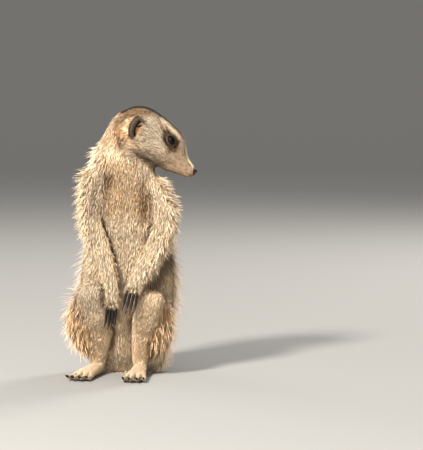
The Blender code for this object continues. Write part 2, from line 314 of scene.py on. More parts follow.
def blur(values, edges, rounds, share=0.6):
    # evens values out over the mesh: each point moves towards the mean of its neighbours
    values = np.array(values, float)
    flat = values.reshape(len(values), -1)
    ends = np.concatenate((edges[:, 0], edges[:, 1]))
    others = np.concatenate((edges[:, 1], edges[:, 0]))
    count = np.maximum(np.bincount(ends, minlength=len(flat)), 1)
    share = np.broadcast_to(np.asarray(share, float), len(flat))
    for _ in range(rounds):
        for column in range(flat.shape[1]):
            mean = np.bincount(ends, flat[others, column], len(flat)) / count
            flat[:, column] += (mean - flat[:, column]) * share
    return flat.reshape(values.shape)


def nearest(places, points):
    # for each point, the number of the nearest place and how far it is
    tree = KDTree(len(places))
    for number, place in enumerate(places):
        tree.insert(Vector(place), number)
    tree.balance()
    found = [tree.find(Vector(point)) for point in points]
    return np.array([f[1] for f in found]), np.array([f[2] for f in found])


skinPlan = {
    "swell": 0.25,  # each solid is grown by this, to close the gaps between them
    "voxel": 0.85,
    "evenBody": 42,  # rounds of smoothing
    "evenHead": 22,
    "evenFeet": 4,
    "evenNape": 160,
    "evenShoulders": 110,
    "eyeArea": 10.5,  # finer mesh this close to an eye
    "noseArea": 9.0,
    "earArea": 11.5,
    "finest": 0.66,  # the share of the eye's and nose's areas that is made finer still
    "triangles": 188000,
}
fleshNodes = sorted(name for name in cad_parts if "claw" not in name and not name.startswith("eye"))
bodyNodes = [*fleshNodes, "eye_left", "eye_right"]

earPlan = {
    "tilt": 18.0,  # the top leans back
    "turn": 24.0,  # it faces forward by this
    "rimHalf": (3.6, 7.9),  # half width and half height of the rim's middle line
    "rimArc": (-38, 208),  # from the top, over the back, round to the front
    "rimThick": (1.4, 2.9),  # radius at the rim's ends and at the back
    "rimOut": 1.1,
    "rimBeads": 25,
    "even": 8,  # rounds of smoothing
    "folds": (
        # forward, up, out, radius
        (3.6, 4.4, 1.1, 1.5),
        (2.6, 3.4, 0.8, 1.2),
        (4.2, 0.4, 1.1, 1.5),
        (3.0, -1.2, 0.8, 1.3),
        (3.6, -4.4, 0.8, 1.9),
        (2.0, -6.2, 0.5, 1.5),
    ),
    # hollows in the ear's own side plane: the gap inside the rim, and the fold across; then width and depth
    "gap": (((2.4, 6.0), (1.0, 3.4), (0.4, -0.4), (0.7, -4.0), (2.0, -6.6)), 0.95, 2.6),
    "cross": (((0.8, 1.2), (2.6, 1.3), (4.6, 2.6)), 0.6, 1.5),
}


def earAxes(side):
    # an ear's middle, and its own axes: forward, up and out
    sign = 1 if side == "left" else -1
    tilt, turn = math.radians(earPlan["tilt"]), math.radians(earPlan["turn"])
    up = math.cos(tilt) * headUp + math.sin(tilt) * headBack
    out = sign * math.cos(turn) * headLeft - math.sin(turn) * headBack
    out = unit(out - up * (out @ up))
    forward = np.cross(up, out) * -sign
    return earMiddles[side], np.array((forward, up, out))


def inEar(points, side):
    middle, axes = earAxes(side)
    return (points - middle) @ axes.T / mm


def addBead(bm, place, radius):
    # a lump of clay; neighbouring lumps flow together in the remesh
    matrix = Matrix.Translation(Vector(place))
    bmesh.ops.create_icosphere(bm, subdivisions=2, radius=radius * mm, matrix=matrix)


def addEarBeads(bm, side):
    # the rolled rim and the folds inside the ear
    middle, axes = earAxes(side)
    first, last = earPlan["rimArc"]
    thin, thick = earPlan["rimThick"]
    halfWide, halfHigh = earPlan["rimHalf"]
    beads = []
    for step in range(earPlan["rimBeads"]):
        share = step / (earPlan["rimBeads"] - 1)
        turn = math.radians(first + (last - first) * share)
        place = (-halfWide * math.sin(turn), halfHigh * math.cos(turn), earPlan["rimOut"])
        beads.append((*place, thin + (thick - thin) * math.sin(math.pi * share)))
    for forward, up, out, radius in [*beads, *earPlan["folds"]]:
        addBead(bm, middle + np.array((forward, up, out)) @ axes * mm, radius)


def mergedCopy(name, swell=0.0):
    # a copy of a solid with its loose triangles merged, grown a little
    bm = bmesh.new()
    bm.from_mesh(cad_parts[name].data)
    bmesh.ops.remove_doubles(bm, verts=bm.verts, dist=1e-6)
    bm.normal_update()
    moves = [v.normal * swell for v in bm.verts]
    for v, move in zip(bm.verts, moves):
        v.co += move
    return meshFrom(bm, "copy_" + name)


def closedBody():
    # one closed form over all the flesh and the eyes, by a voxel remesh
    whole = bmesh.new()
    for name in bodyNodes:
        copy = mergedCopy(name, skinPlan["swell"] * mm)
        whole.from_mesh(copy)
        bpy.data.meshes.remove(copy)
    for side in sides:
        addEarBeads(whole, side)
    solid = meshFrom(whole, "solid")
    holder = addObject("solid", solid)
    remesh = holder.modifiers.new("remesh", "REMESH")
    remesh.mode = "VOXEL"
    remesh.voxel_size = skinPlan["voxel"] * mm
    made = modifiedMesh(holder)
    bpy.data.meshes.remove(solid)
    return made


def refine(mesh, areas):
    # halves the faces close to each place in areas: (place, how close)
    bm = bmesh.new()
    bm.from_mesh(mesh)
    middles = np.array([f.calc_center_median() for f in bm.faces])
    close = np.zeros(len(middles), bool)
    for place, reach in areas:
        close |= np.linalg.norm(middles - place, axis=1) < reach * mm
    edges = list({e for f, yes in zip(bm.faces, close) if yes for e in f.edges})
    bmesh.ops.subdivide_edges(bm, edges=edges, cuts=1, use_grid_fill=True)
    bmesh.ops.triangulate(bm, faces=[f for f in bm.faces if len(f.verts) > 4])
    bm.to_mesh(mesh)
    bm.free()


def nearestNodes(points):
    # the flesh node nearest each point, as a number into fleshNodes; the eyes count as the head
    corners, faces, owners = [], [], []
    for number, name in enumerate(bodyNodes):
        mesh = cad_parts[name].data
        offset = len(corners)
        corners.extend(v.co.copy() for v in mesh.vertices)
        faces.extend([offset + k for k in p.vertices] for p in mesh.polygons)
        owners.extend([number] * len(mesh.polygons))
    tree = BVHTree.FromPolygons(corners, faces)
    owner = np.array([owners[tree.find_nearest(Vector(p))[2]] for p in points])
    owner[owner >= len(fleshNodes)] = fleshNodes.index("head")
    return owner


def ownerIs(owner, *starts):
    return np.isin(owner, [n for n, name in enumerate(fleshNodes) if name.startswith(starts)])


def roughSkin():
    # the closed body evened out, still at the coat's outer face
    mesh = closedBody()
    areas = [(nose, skinPlan["noseArea"])]
    areas += [(middle, skinPlan["eyeArea"]) for middle in eyeMiddles.values()]
    ears = [(middle, skinPlan["earArea"]) for middle in earMiddles.values()]
    refine(mesh, areas + ears)
    refine(mesh, [(middle, reach * skinPlan["finest"]) for middle, reach in areas])
    points = readPoints(mesh)
    edges = readEdges(mesh)
    owner = nearestNodes(points)
    isHead = blur(ownerIs(owner, "head"), edges, 12)
    isKept = np.clip(blur(ownerIs(owner, "forepaw", "hind_foot", "ear", "nose"), edges, 8), 0, 1)
    before = points.copy()
    points = blur(points, edges, skinPlan["evenFeet"])
    points = blur(points, edges, earPlan["even"], 0.6 * blur(ownerIs(owner, "ear"), edges, 4))
    snout = 0.25 + 0.75 * ease(inHead(points)[:, 0], 2, 22)
    points = blur(points, edges, skinPlan["evenHead"], 0.6 * isHead * snout * (1 - isKept))
    points = blur(points, edges, skinPlan["evenBody"], 0.6 * (1 - isKept) * (1 - isHead))
    wide = blur(ownerIs(owner, "head"), edges, 90)
    nape = ease(inHead(points)[:, 0], 40, 58) * (1 - isKept)
    points = blur(points, edges, skinPlan["evenNape"], 0.6 * np.clip(5 * wide * (1 - wide), 0, 1) * nape)
    shoulders = ease(points[:, 2] / mm, 150, 172) * (1 - isHead) * (1 - isKept)
    points = blur(points, edges, skinPlan["evenShoulders"], 0.6 * shoulders)
    # smoothing shrinks the form, so its broad loss is given back
    normals = unit(blur(readNormals(mesh), edges, 8))
    lost = ((before - points) * normals).sum(axis=1) * (1 - isKept)
    points += normals * blur(lost, edges, 70)[:, None]
    writePoints(mesh, points)
    return mesh, owner


skinMesh, skinOwner = roughSkin()
print("body closed:", len(skinMesh.polygons), "faces")

# What grows where. depth: the skin under the tips; length and half width of a tuft; crowd: tufts to a
# square mm; lock: how wide a lock is; pull: how far its tips come together; proud: the share of locks that
# stand out; stray: how unevenly tufts lie; wave: their sideways bend; vary: how much locks differ in shade.
coatLabels = ("depth", "length", "width", "crowd", "lock", "pull", "proud", "stray", "wave", "vary")
coatKinds = {
    "muzzle": (0.40, 2.6, 0.11, 5.8, 0.7, 0.50, 0.03, 0.12, 0.0, 1.6),
    "face":   (0.90, 4.4, 0.12, 4.9, 0.8, 0.70, 0.05, 0.13, 0.0, 1.4),
    "ear":    (0.25, 1.7, 0.11, 5.0, 0.9, 0.20, 0.03, 0.20, 0.0, 0.6),
    "neck":   (2.00, 6.2, 0.14, 3.5, 0.75, 0.90, 0.01, 0.10, 0.1, 0.8),
    "front":  (2.00, 6.2, 0.15, 2.45, 0.75, 0.90, 0.05, 0.13, 0.1, 0.8),
    "flank":  (4.40, 15.0, 0.20, 1.5, 1.5, 0.92, 0.28, 0.20, 0.6, 1.8),
    "back":   (3.00, 9.5, 0.19, 1.4, 1.1, 0.90, 0.05, 0.14, 0.2, 1.1),
    "arm":    (2.10, 6.6, 0.15, 2.7, 0.75, 0.92, 0.12, 0.11, 0.1, 0.9),
    "paw":    (0.90, 4.0, 0.13, 4.4, 0.7, 0.80, 0.04, 0.12, 0.0, 1.0),
    "thigh":  (3.60, 11.5, 0.19, 2.1, 1.3, 0.92, 0.10, 0.16, 0.5, 1.5),
    "shank":  (1.40, 5.0, 0.15, 2.5, 0.75, 0.85, 0.04, 0.11, 0.1, 0.6),
    "foot":   (0.60, 3.0, 0.12, 4.6, 0.6, 0.40, 0.01, 0.07, 0.0, 0.8),
    "tail":   (2.10, 7.5, 0.21, 1.1, 1.6, 0.60, 0.06, 0.18, 0.2, 1.2),
}
kindNames = list(coatKinds)
kindTable = np.array([coatKinds[name] for name in kindNames])


toePlan = {
    # how deep the gaps between toes are, how wide, and how far back from the claws they run
    "fore": (1.9, 0.95, 17.0),
    "hind": (2.6, 1.05, 19.0),
}
footNodes = {"fore": "forepaw_", "hind": "hind_foot_"}


def footAxes(foot, side):
    # the middle of the claws, the way the toes point, the way across them, and each claw's place across
    middles = np.array([nodeMiddle(f"{foot}_{side}_claw_{number}") for number in range(1, 5)])
    centre = middles.mean(axis=0)
    across = unit(middles[3] - middles[0])
    ahead = centre - nodeMiddle(footNodes[foot] + side)
    if foot == "hind":
        ahead = ahead * (1, 1, 0)
    ahead = unit(ahead - across * (ahead @ across))
    return centre, ahead, across, (middles - centre) @ across / mm


def fromKinds(shares, label):
    return shares @ kindTable[:, coatLabels.index(label)]


def shareOf(shares, *names):
    return sum(shares[:, kindNames.index(name)] for name in names)


def lineDistance(places, line):
    # millimetres from a line of points, both in as many dimensions as they have
    best = np.full(len(places), 99.0)
    line = np.array(line, float)
    for start, end in zip(line, line[1:]):
        along = end - start
        share = np.clip((places - start) @ along / (along @ along), 0, 1)
        best = np.minimum(best, np.linalg.norm(places - start - share[:, None] * along, axis=1))
    return best


# the smooth short coat of knees and shins runs along these lines, seen from the front: (across, up)
shinLines = (((-38.0, 76.0), (-30.0, 48.0), (-15.0, 20.0)), ((22.0, 72.0), (0.0, 48.0), (-9.0, 14.0)))


def shinDistance(points):
    seen = points[:, (0, 2)] / mm
    return np.minimum(*(lineDistance(seen, line) for line in shinLines))


def kindShares(owner, points, normals, edges):
    # how much of each kind of coat a point has: a column for each kind, blurred over the borders
    front = ease(normals @ bodyFront, -0.25, 0.45)
    back, _, up = inHead(points).T
    behind = ease(-normals @ bodyFront, 0.05, 0.5)
    muzzle = 1 - ease(back, 14, 30)
    nape = ease(back - 0.25 * up, 60, 84)
    fromEar = np.min([np.linalg.norm(points - middle, axis=1) for middle in earMiddles.values()], axis=0) / mm
    longer = 0.15 + 0.85 * ease(fromEar, 9, 30)
    head = ownerIs(owner, "head", "nose")
    trunk = ownerIs(owner, "trunk")
    thigh = ownerIs(owner, "thigh")
    knee = ease(normals @ bodyFront, -0.1, 0.35) * (1 - ease(shinDistance(points), 8.0, 13.0))
    toes = np.zeros(len(points))
    for side in sides:
        centre, ahead, _, _ = footAxes("fore", side)
        toes += ownerIs(owner, "forepaw_" + side) * ease((points - centre) @ ahead / mm, -30, -12)
    columns = {
        "muzzle": head * muzzle,
        "face": head * (1 - muzzle) * (1 - nape) + (ownerIs(owner, "neck") + head * nape) * (1 - longer),
        "ear": ownerIs(owner, "ear"),
        "neck": (ownerIs(owner, "neck") + head * nape) * longer,
        "front": trunk * front,
        "flank": trunk * (1 - front) * (1 - behind),
        "back": trunk * (1 - front) * behind,
        "arm": ownerIs(owner, "upper_arm", "forearm", "forepaw") - toes,
        "paw": toes,
        "thigh": thigh * (1 - knee),
        "shank": ownerIs(owner, "shank") + thigh * knee,
        "foot": ownerIs(owner, "hind_foot"),
        "tail": ownerIs(owner, "tail"),
    }
    table = np.stack([columns[name] for name in kindNames], axis=1).astype(float)
    ears = table[:, kindNames.index("ear")].copy()
    table = blur(table, edges, 40)
    table[:, kindNames.index("ear")] = blur(ears, edges, 3)
    return table / table.sum(axis=1, keepdims=True)


creaseWidths = {"skin": 1.7, "coat": 1.35}  # how wide the skin is pressed in, and how wide the coat parts
creasePlan = {
    # the two parts that meet: how deep the skin is pressed in between them
    ("arm", "trunk"): 3.2,
    ("arm", "thigh"): 2.6,
    ("arm", "leg"): 2.6,
    ("arm", "head"): 1.0,
    ("thigh", "trunk"): 2.0,
    ("leg", "trunk"): 1.3,
    ("leg", "thigh"): 0.6,
    ("head", "trunk"): 1.0,
    ("tail", "trunk"): 0.8,
}
bodyGroups = {
    "arm": ("upper_arm", "forearm", "forepaw"),
    "head": ("head", "nose", "ear"),
    "leg": ("shank", "hind_foot"),
    "tail": ("tail",),
    "thigh": ("thigh",),
    "trunk": ("trunk", "neck"),
}


def creaseDepths(points, normals, owner, edges):
    # how far to press the skin in along the lines where an arm or a leg lies against the trunk
    names = list(bodyGroups)
    group = np.zeros(len(owner), int)
    for number, starts in enumerate(bodyGroups.values()):
        group[ownerIs(owner, *starts)] = number
    ends = edges[group[edges[:, 0]] != group[edges[:, 1]]]
    middles = points[ends].mean(axis=1)
    pairs = np.sort(group[ends], axis=1)
    deep = np.zeros(len(ends))
    for (first, second), depth in creasePlan.items():
        deep[(pairs[:, 0] == names.index(first)) & (pairs[:, 1] == names.index(second))] = depth
    isArm = pairs[:, 0] == names.index("arm")
    isHead = (pairs[:, 0] == names.index("head")) | (pairs[:, 1] == names.index("head"))
    isThigh = (pairs == names.index("thigh")).any(axis=1)
    facing = normals[ends].mean(axis=1) @ bodyFront
    deep[isArm] *= 1 - 0.8 * ease(middles[isArm, 2] / mm, 126, 146)
    deep[isHead] *= ease(-inHead(middles[isHead])[:, 0], -52, -38)
    deep[isThigh] *= 0.35 + 0.65 * ease(facing[isThigh], -0.2, 0.5)
    number, away = nearest(middles, points)
    pressed = deep[number] * np.exp(-(away / (creaseWidths["skin"] * mm)) ** 2)
    parted = ease(deep[number], 0.4, 2.4) * np.exp(-(away / (creaseWidths["coat"] * mm)) ** 2)
    return blur(pressed, edges, 3), parted


def toeGrooves(points, owner):
    # how far to press the skin in between the toes
    deep = np.zeros(len(points))
    for foot, (depth, wide, long) in toePlan.items():
        for side in sides:
            centre, ahead, across, places = footAxes(foot, side)
            mine = ownerIs(owner, footNodes[foot] + side)
            along = (points - centre) @ ahead / mm
            sideways = (points - centre) @ across / mm
            for first, second in zip(places, places[1:]):
                gap = np.exp(-((sideways - (first + second) / 2) / wide) ** 2)
                deep += depth * gap * ease(along, -long, -0.45 * long) * mine
    return deep


eyePlan = {
    "long": 46.0,  # half the opening's length, degrees round the ball
    "high": 34.0,  # half its height
    "corner": 0.20,  # how much the corners draw out
    "snap": 0.07,  # points this close to the rim are set on it, in openings
    "slant": -24.0,  # the inner corner lies lower
    "out": (-0.10, 0.95, 0.24),  # the way it looks: back, side, up
    "lid": 0.30,  # the lid's rim over the ball
    "lidThick": 0.75,
    "hide": 1.2,  # how far the skin sinks under the ball inside the opening
    "reach": 2.1,  # where the lids have run out into the face, in openings
    "foldAt": 1.62,  # the fold above and below the lids, in openings
    "foldDeep": 0.35,
}


def eyeAxes(side):
    # middle and radius of an eye, and its own axes: along the opening, up, and out
    low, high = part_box("eye_" + side)
    radius = (high[2] - low[2]) / 2
    sign = 1 if side == "left" else -1
    back, aside, up = eyePlan["out"]
    out = unit(back * headBack + sign * aside * headLeft + up * headUp)
    along = unit(headBack - out * (headBack @ out))
    rise = unit(headUp - out * (headUp @ out) - along * (headUp @ along))
    turn = math.radians(eyePlan["slant"])
    tilted = along * math.cos(turn) - rise * math.sin(turn)
    raised = rise * math.cos(turn) + along * math.sin(turn)
    return eyeMiddles[side], radius, tilted, raised, out


def roundEye(points, side):
    # each point seen from the eye's middle: angle off the gaze, way round it, and the opening's angle there
    middle, _, along, rise, out = eyeAxes(side)
    ways = unit(points - middle)
    across, height = ways @ along, ways @ rise
    angle = np.degrees(np.arctan2(np.hypot(across, height), ways @ out))
    turn = np.arctan2(height, across)
    opening = 1 / np.sqrt((np.cos(turn) / eyePlan["long"]) ** 2 + (np.sin(turn) / eyePlan["high"]) ** 2)
    return angle, turn, opening * (1 + eyePlan["corner"] * np.cos(turn) ** 8)


def openingShare(points, side):
    # how far a point lies from the middle of the lids' opening: 1 at the rim
    angle, _, opening = roundEye(points, side)
    return angle / opening


def shapeLids(points):
    # the skin round each eyeball: sunk inside the opening, a rim over the ball, then out into the face
    for side in sides:
        middle, radius, along, rise, out = eyeAxes(side)
        away = np.linalg.norm(points - middle, axis=1)
        angle, turn, opening = roundEye(points, side)
        q = angle / opening
        onRim = np.abs(q - 1) < eyePlan["snap"]
        angle = np.radians(np.where(onRim, opening, angle))
        q = np.where(onRim, 1.0, q)
        around = np.cos(turn)[:, None] * along + np.sin(turn)[:, None] * rise
        ways = np.cos(angle)[:, None] * out + np.sin(angle)[:, None] * around
        near = 1 - ease(away, 1.8 * radius, 2.6 * radius)
        rim = radius + (eyePlan["lid"] + eyePlan["lidThick"] * ease(q, 1.0, 1.35)) * mm
        wanted = np.where(q < 1.0, radius - eyePlan["hide"] * mm, rim)
        share = (1 - ease(q, 1.4, eyePlan["reach"])) * near
        crease = eyePlan["foldDeep"] * mm * np.exp(-((q - eyePlan["foldAt"]) / 0.13) ** 2) * near
        held = away + (wanted - away) * share - crease
        points = np.where((near > 0)[:, None], middle + ways * held[:, None], points)
    return points


facePlan = {
    "mouth": ((1.2, -8.0), (8.0, -10.6), (16.5, -13.2)),  # (back, up) along the lips
    "mouthDeep": 0.75,
    "mouthWide": 0.75,
    # hump or hollow: back, up, half length, half height, rise
    "forms": (
        (31.0, 17.0, 7.5, 3.2, 0.8),  # brow
        (22.0, 5.5, 8.0, 4.0, -0.9),  # before the eye
        (42.0, -4.0, 9.0, 6.5, 0.8),  # cheek
        (9.0, -5.5, 6.0, 3.2, 0.55),  # whisker pad
        (15.0, -15.0, 9.0, 2.2, 0.35),  # lower lip
        (52.0, -13.0, 7.0, 4.0, 0.6),  # jaw angle
    ),
    "nostril": (-1.5, 1.75, -0.1),  # back, aside, up
    "nostrilWide": 0.85,
    "nostrilDeep": 1.5,
    "slit": (1.3, 3.1, -1.2),  # where the nostril's slit runs out to
    "slitWide": 0.5,
    "philtrum": 0.45,
}


def hump(places, middle, halves):
    # a soft round hump in the head's side plane
    offsets = (places - np.array(middle)) / np.array(halves)
    return np.exp(-(offsets ** 2).sum(axis=1))


def mouthDistance(places):
    return lineDistance(places[:, (0, 2)], facePlan["mouth"])


def noseShare(points, margin):
    # how far out points are from the middle of the nose: 1 at its outline with this margin
    low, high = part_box("nose")
    radius = np.array((high - low) / 2) / mm
    return np.linalg.norm((points - nose) / mm / (radius + margin), axis=1)


def shapeFace(points, normals):
    # brow, cheek, whisker pads, lips, nostrils
    places = inHead(points)
    side = places[:, (0, 2)]
    aside = np.abs(places[:, 1])
    inFace = (places[:, 0] < 62) & (places[:, 0] > -4) & (np.abs(places[:, 2]) < 30) & (aside < 30)
    push = np.zeros(len(points))
    for back, up, halfLong, halfHigh, rise in facePlan["forms"]:
        push += rise * hump(side, (back, up), (halfLong, halfHigh))
    lips = np.exp(-(mouthDistance(places) / facePlan["mouthWide"]) ** 2)
    push -= facePlan["mouthDeep"] * lips * ease(aside, 0.6, 1.6)
    folded = mirrored(places)
    nostril, slit = facePlan["nostril"], facePlan["slit"]
    pit = np.exp(-(np.linalg.norm(folded - nostril, axis=1) / facePlan["nostrilWide"]) ** 2)
    cut = np.exp(-(lineDistance(folded, (nostril, slit)) / facePlan["slitWide"]) ** 2)
    push -= facePlan["nostrilDeep"] * np.maximum(pit, 0.55 * cut)
    groove = np.exp(-(aside / 0.45) ** 2) * (1 - ease(places[:, 0], -1, 2)) * (1 - ease(places[:, 2], -1, 1))
    push -= facePlan["philtrum"] * groove
    return points + normals * (push * inFace * mm)[:, None]


def shapeEars(points):
    # the crescent gap inside each rim, and the cut between the folds
    for side in sides:
        places = inEar(points, side)
        sink = np.zeros(len(points))
        for line, wide, deep in (earPlan["gap"], earPlan["cross"]):
            sink = np.maximum(sink, deep * np.exp(-(lineDistance(places[:, :2], line) / wide) ** 2))
        sink *= ease(places[:, 2], -3.0, -1.0) * (np.abs(places[:, 2]) < 8)
        points = points - (sink * mm)[:, None] * earAxes(side)[1][2]
    return points


def finishSkin(mesh, owner):
    # draws the skin in from the coat's tips by the coat's depth, then models creases, toes, face and lids
    edges = readEdges(mesh)
    points = readPoints(mesh)
    normals = unit(blur(readNormals(mesh), edges, 6))
    shares = kindShares(owner, points, normals, edges)
    depth = fromKinds(shares, "depth")
    depth *= 0.45 + 0.55 * ease(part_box("tail_tip")[1][1] - points[:, 1], 0, 45 * mm)
    depth *= 1 - blur(ownerIs(owner, "nose"), edges, 2)
    pressed, parted = creaseDepths(points, normals, owner, edges)
    grooves = toeGrooves(points, owner)
    pressed += grooves
    points = points - normals * ((depth + pressed) * mm)[:, None]
    small = np.clip(shareOf(shares, "foot", "paw", "ear") + ownerIs(owner, "nose"), 0, 1)
    points = blur(points, edges, 3, 0.5 * (1 - small))
    points = shapeEars(shapeFace(points, normals))
    points = shapeLids(points)
    points[:, 2] = np.maximum(points[:, 2], 0.0)
    writePoints(mesh, points)
    return shares, depth, np.clip(parted + 0.5 * grooves, 0, 1)


def thinOut(mesh, keep):
    # fewer triangles where the form is plain; keep is 1 where the mesh stays fine
    mesh.calc_loop_triangles()
    holder = addObject("thinning", mesh)
    group = holder.vertex_groups.new(name="plain")
    levels = np.round((1 - keep) * 10).astype(int)
    for level in range(11):
        group.add(np.nonzero(levels == level)[0].tolist(), level / 10, "REPLACE")
    thin = holder.modifiers.new("thin", "DECIMATE")
    thin.ratio = skinPlan["triangles"] / len(mesh.loop_triangles)
    thin.vertex_group = "plain"
    made = modifiedMesh(holder)
    made.shade_smooth()
    return made


def makeSkin():
    shares, depth, parting = finishSkin(skinMesh, skinOwner)
    keep = np.clip(shareOf(shares, "muzzle", "face", "ear", "paw", "foot"), 0, 1)
    made = thinOut(skinMesh, keep)
    number, _ = nearest(readPoints(skinMesh), readPoints(made))
    return made, shares[number], depth[number], parting[number]


skinMesh, coatShares, coatDepth, coatParting = makeSkin()
skin = addPiece("skin", skinMesh, fleshNodes)
print("skin shaped:", len(skinMesh.polygons), "faces")


def unwrapSkin(obj):
    # an unwrap of the skin's own shape, which the coat's tufts take their places from
    obj.data.uv_layers.new(name="OFBake")
    bpy.context.view_layer.objects.active = obj
    obj.select_set(True)
    bpy.ops.object.mode_set(mode="EDIT")
    bpy.ops.mesh.select_all(action="SELECT")
    bpy.ops.uv.smart_project(angle_limit=math.radians(66), island_margin=0.003)
    bpy.ops.object.mode_set(mode="OBJECT")
    obj.select_set(False)


unwrapSkin(skin)
print("skin unwrapped")

skinPoints = readPoints(skinMesh)
skinEdges = readEdges(skinMesh)
evenNormals = unit(blur(readNormals(skinMesh), skinEdges, 3))


def towards(first, second):
    return unit(nodeMiddle(second) - nodeMiddle(first))


liePlan = {
    # how much the lie turns
    "spread": {"front": 0.12, "flank": 0.35, "back": 0.10, "thigh": 0.10, "shin": 0.1, "arm": 0.45},
    "overKnees": 0.9,  # forward, where legs face up
    "toes": 0.30,  # down
    "nape": 0.10,  # back
    "ear": 0.3,  # up
    "fan": (-0.7, 0.45),  # to the sides of the nape: least, most
}


def hairLie(points, normals, shares, edges):
    # which way the coat runs at each point of the skin
    down = np.array((0.0, 0.0, -1.0))
    outward = unit(points * (1, 1, 0))
    below = ease(-inHead(points)[:, 2], -2, 16)[:, None]
    over = ease(inHead(points)[:, 0], 48, 68)[:, None]
    onHead = headBack * (1 - 0.6 * over) - headUp * (0.30 * below + 0.9 * over)
    fan = np.clip((points @ bodyLeft / mm + 14) / 22, *liePlan["fan"])[:, None]
    nape = down - liePlan["nape"] * bodyFront + fan * bodyLeft
    spread = {part: share * outward for part, share in liePlan["spread"].items()}
    overKnees = liePlan["overKnees"] * bodyFront * ease(normals[:, 2], 0.1, 0.8)[:, None]
    rows = {
        "muzzle": onHead,
        "face": onHead,
        "ear": onHead + liePlan["ear"] * headUp,
        "neck": nape,
        "front": down + spread["front"],
        "flank": down + spread["flank"],
        "back": down + spread["back"],
        "thigh": down + spread["thigh"] + overKnees,
        "tail": towards("tail_base", "tail_tip"),
    }
    total = np.zeros(points.shape)
    for name, way in rows.items():
        total += shareOf(shares, name)[:, None] * way
    for side in sides:
        mine = onBodySide(points, side)
        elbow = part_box("forearm_" + side)[1][2]
        low = ease(elbow - points[:, 2], -14 * mm, 14 * mm)[:, None]
        upper = towards("upper_arm_" + side, "forearm_" + side)
        lower = towards("forearm_" + side, "forepaw_" + side)
        arm = upper * (1 - low) + lower * low + spread["arm"]
        claws = towards("forepaw_" + side, f"fore_{side}_claw_2")
        shin = unit(towards("shank_" + side, "hind_foot_" + side) * (1, 1, 2)) + spread["shin"] + overKnees
        toes = towards("hind_foot_" + side, f"hind_{side}_claw_2") + liePlan["toes"] * down
        for name, way in (("arm", arm), ("paw", claws), ("shank", shin), ("foot", toes)):
            total += (shareOf(shares, name) * mine)[:, None] * way
    total = alongSkin(blur(total, edges, 10), normals)
    return alongCreases(unit(total), points, normals, edges)


def alongCreases(ways, points, normals, edges):
    # beside a crease the coat runs along it: what leads into the crease is taken out of the lie
    near = blur(coatParting, edges, 14)
    first, second = edges.T
    step = points[second] - points[first]
    slope = (near[second] - near[first])[:, None] * step / ((step ** 2).sum(axis=1) + 1e-12)[:, None]
    into = np.zeros(points.shape)
    for column in range(3):
        into[:, column] = np.bincount(first, slope[:, column], len(points))
        into[:, column] += np.bincount(second, slope[:, column], len(points))
    into = unit(alongSkin(blur(into, edges, 4), normals))
    leads = np.maximum((ways * into).sum(axis=1), 0) * ease(near, 0.03, 0.15)
    return unit(blur(ways - into * leads[:, None], edges, 3))


def softNoise(points, size, seed):
    # smooth noise from about -1 to 1 in three columns, with humps about size mm across
    turnDice = np.random.default_rng(seed)
    total = np.zeros((len(points), 3))
    for _ in range(9):
        way = unit(turnDice.normal(size=3)) * (2 * math.pi / (size * mm) * turnDice.uniform(0.6, 1.6))
        phase = turnDice.uniform(0, 2 * math.pi, 3)
        total += np.sin((points @ way)[:, None] + phase)
    return total / 4.0


markPlan = {
    # the lower edge of the dark cap, on the head's side: back, up
    "cap": ((30.0, 49.0, 59.0, 66.0, 74.0, 78.0, 90.0), (21.5, 20.0, 15.8, 10.8, 3.0, -11.0, -40.0)),
    "bands": 10,  # dark bars across the back
    "bandTop": 172.0,  # height of the highest, on the back
    "bandLow": 30.0,
    "bandShare": 0.62,
    "tailDark": 36.0,  # length of the black tail end
    # across and up: the brown line beside the right arm, partly painted shade in the crease, and the painted
    # shadow under the left one
    "armPit": ((-19.0, 178.0), (-21.5, 161.0), (-25.5, 141.0)),
    "underArmShadow": ((37.0, 119.0), (30.0, 99.0), (21.0, 83.0), (13.0, 71.0)),
    # lines and outlines on the head's side: (back, up)
    "eyePatch": ((43.3, 12.6), (39.0, 15.2), (32.5, 15.6), (25.8, 13.4), (21.2, 8.6), (21.2, 3.8),
                 (26.2, -1.2), (31.5, 2.6), (38.6, 6.4)),
    "streak": ((50.5, 17.2), (42.5, 12.4)),
    "brow": ((47.0, 17.8), (40.0, 18.6), (31.5, 17.6), (26.0, 15.2)),
    "bridge": ((24.0, 12.4), (12.0, 6.6), (1.5, 1.6)),
    "jawLines": (
        ((58.0, -10.5), (46.0, -13.5), (33.0, -14.6)),
        ((52.0, -15.5), (38.0, -18.0), (24.0, -16.8)),
        ((44.0, -9.0), (33.0, -10.6), (22.0, -11.2)),
    ),
}


def insideOutline(places, outline, soft):
    # 1 inside an outline in the head's side plane, 0 outside it, soft over its edge
    line = np.array(outline, float)
    ahead = np.roll(line, -1, axis=0)
    inside = np.zeros(len(places), bool)
    for (x1, y1), (x2, y2) in zip(line, ahead):
        crosses = (y1 > places[:, 1]) != (y2 > places[:, 1])
        inside ^= crosses & (places[:, 0] < (x2 - x1) * (places[:, 1] - y1) / (y2 - y1 + 1e-9) + x1)
    edge = lineDistance(places, [*line, line[0]])
    return ease(np.where(inside, edge, -edge), -soft, soft)


class Marks:
    # the coat's colours as shares from 0 to 1; leather is bare skin; the last tone is painted light, which
    # brightens the coat where it lies in shade
    def __init__(self, count):
        names = ("dark", "rust", "pale", "grey", "grizzle", "leather", "light")
        self.tones = {name: np.zeros(count) for name in names}

    def add(self, share, **amounts):
        # more of each named tone, or less, where share is over 0
        for name, amount in amounts.items():
            self.tones[name] += share * amount

    def turnTo(self, mark, share):
        # where share is 1, every tone becomes the mark's own, or 0 if it doesn't name it
        for name, values in self.tones.items():
            self.tones[name] = values + (markTones[mark].get(name, 0.0) - values) * share

    def clipped(self):
        return {name: np.clip(values, 0, 1) for name, values in self.tones.items()}


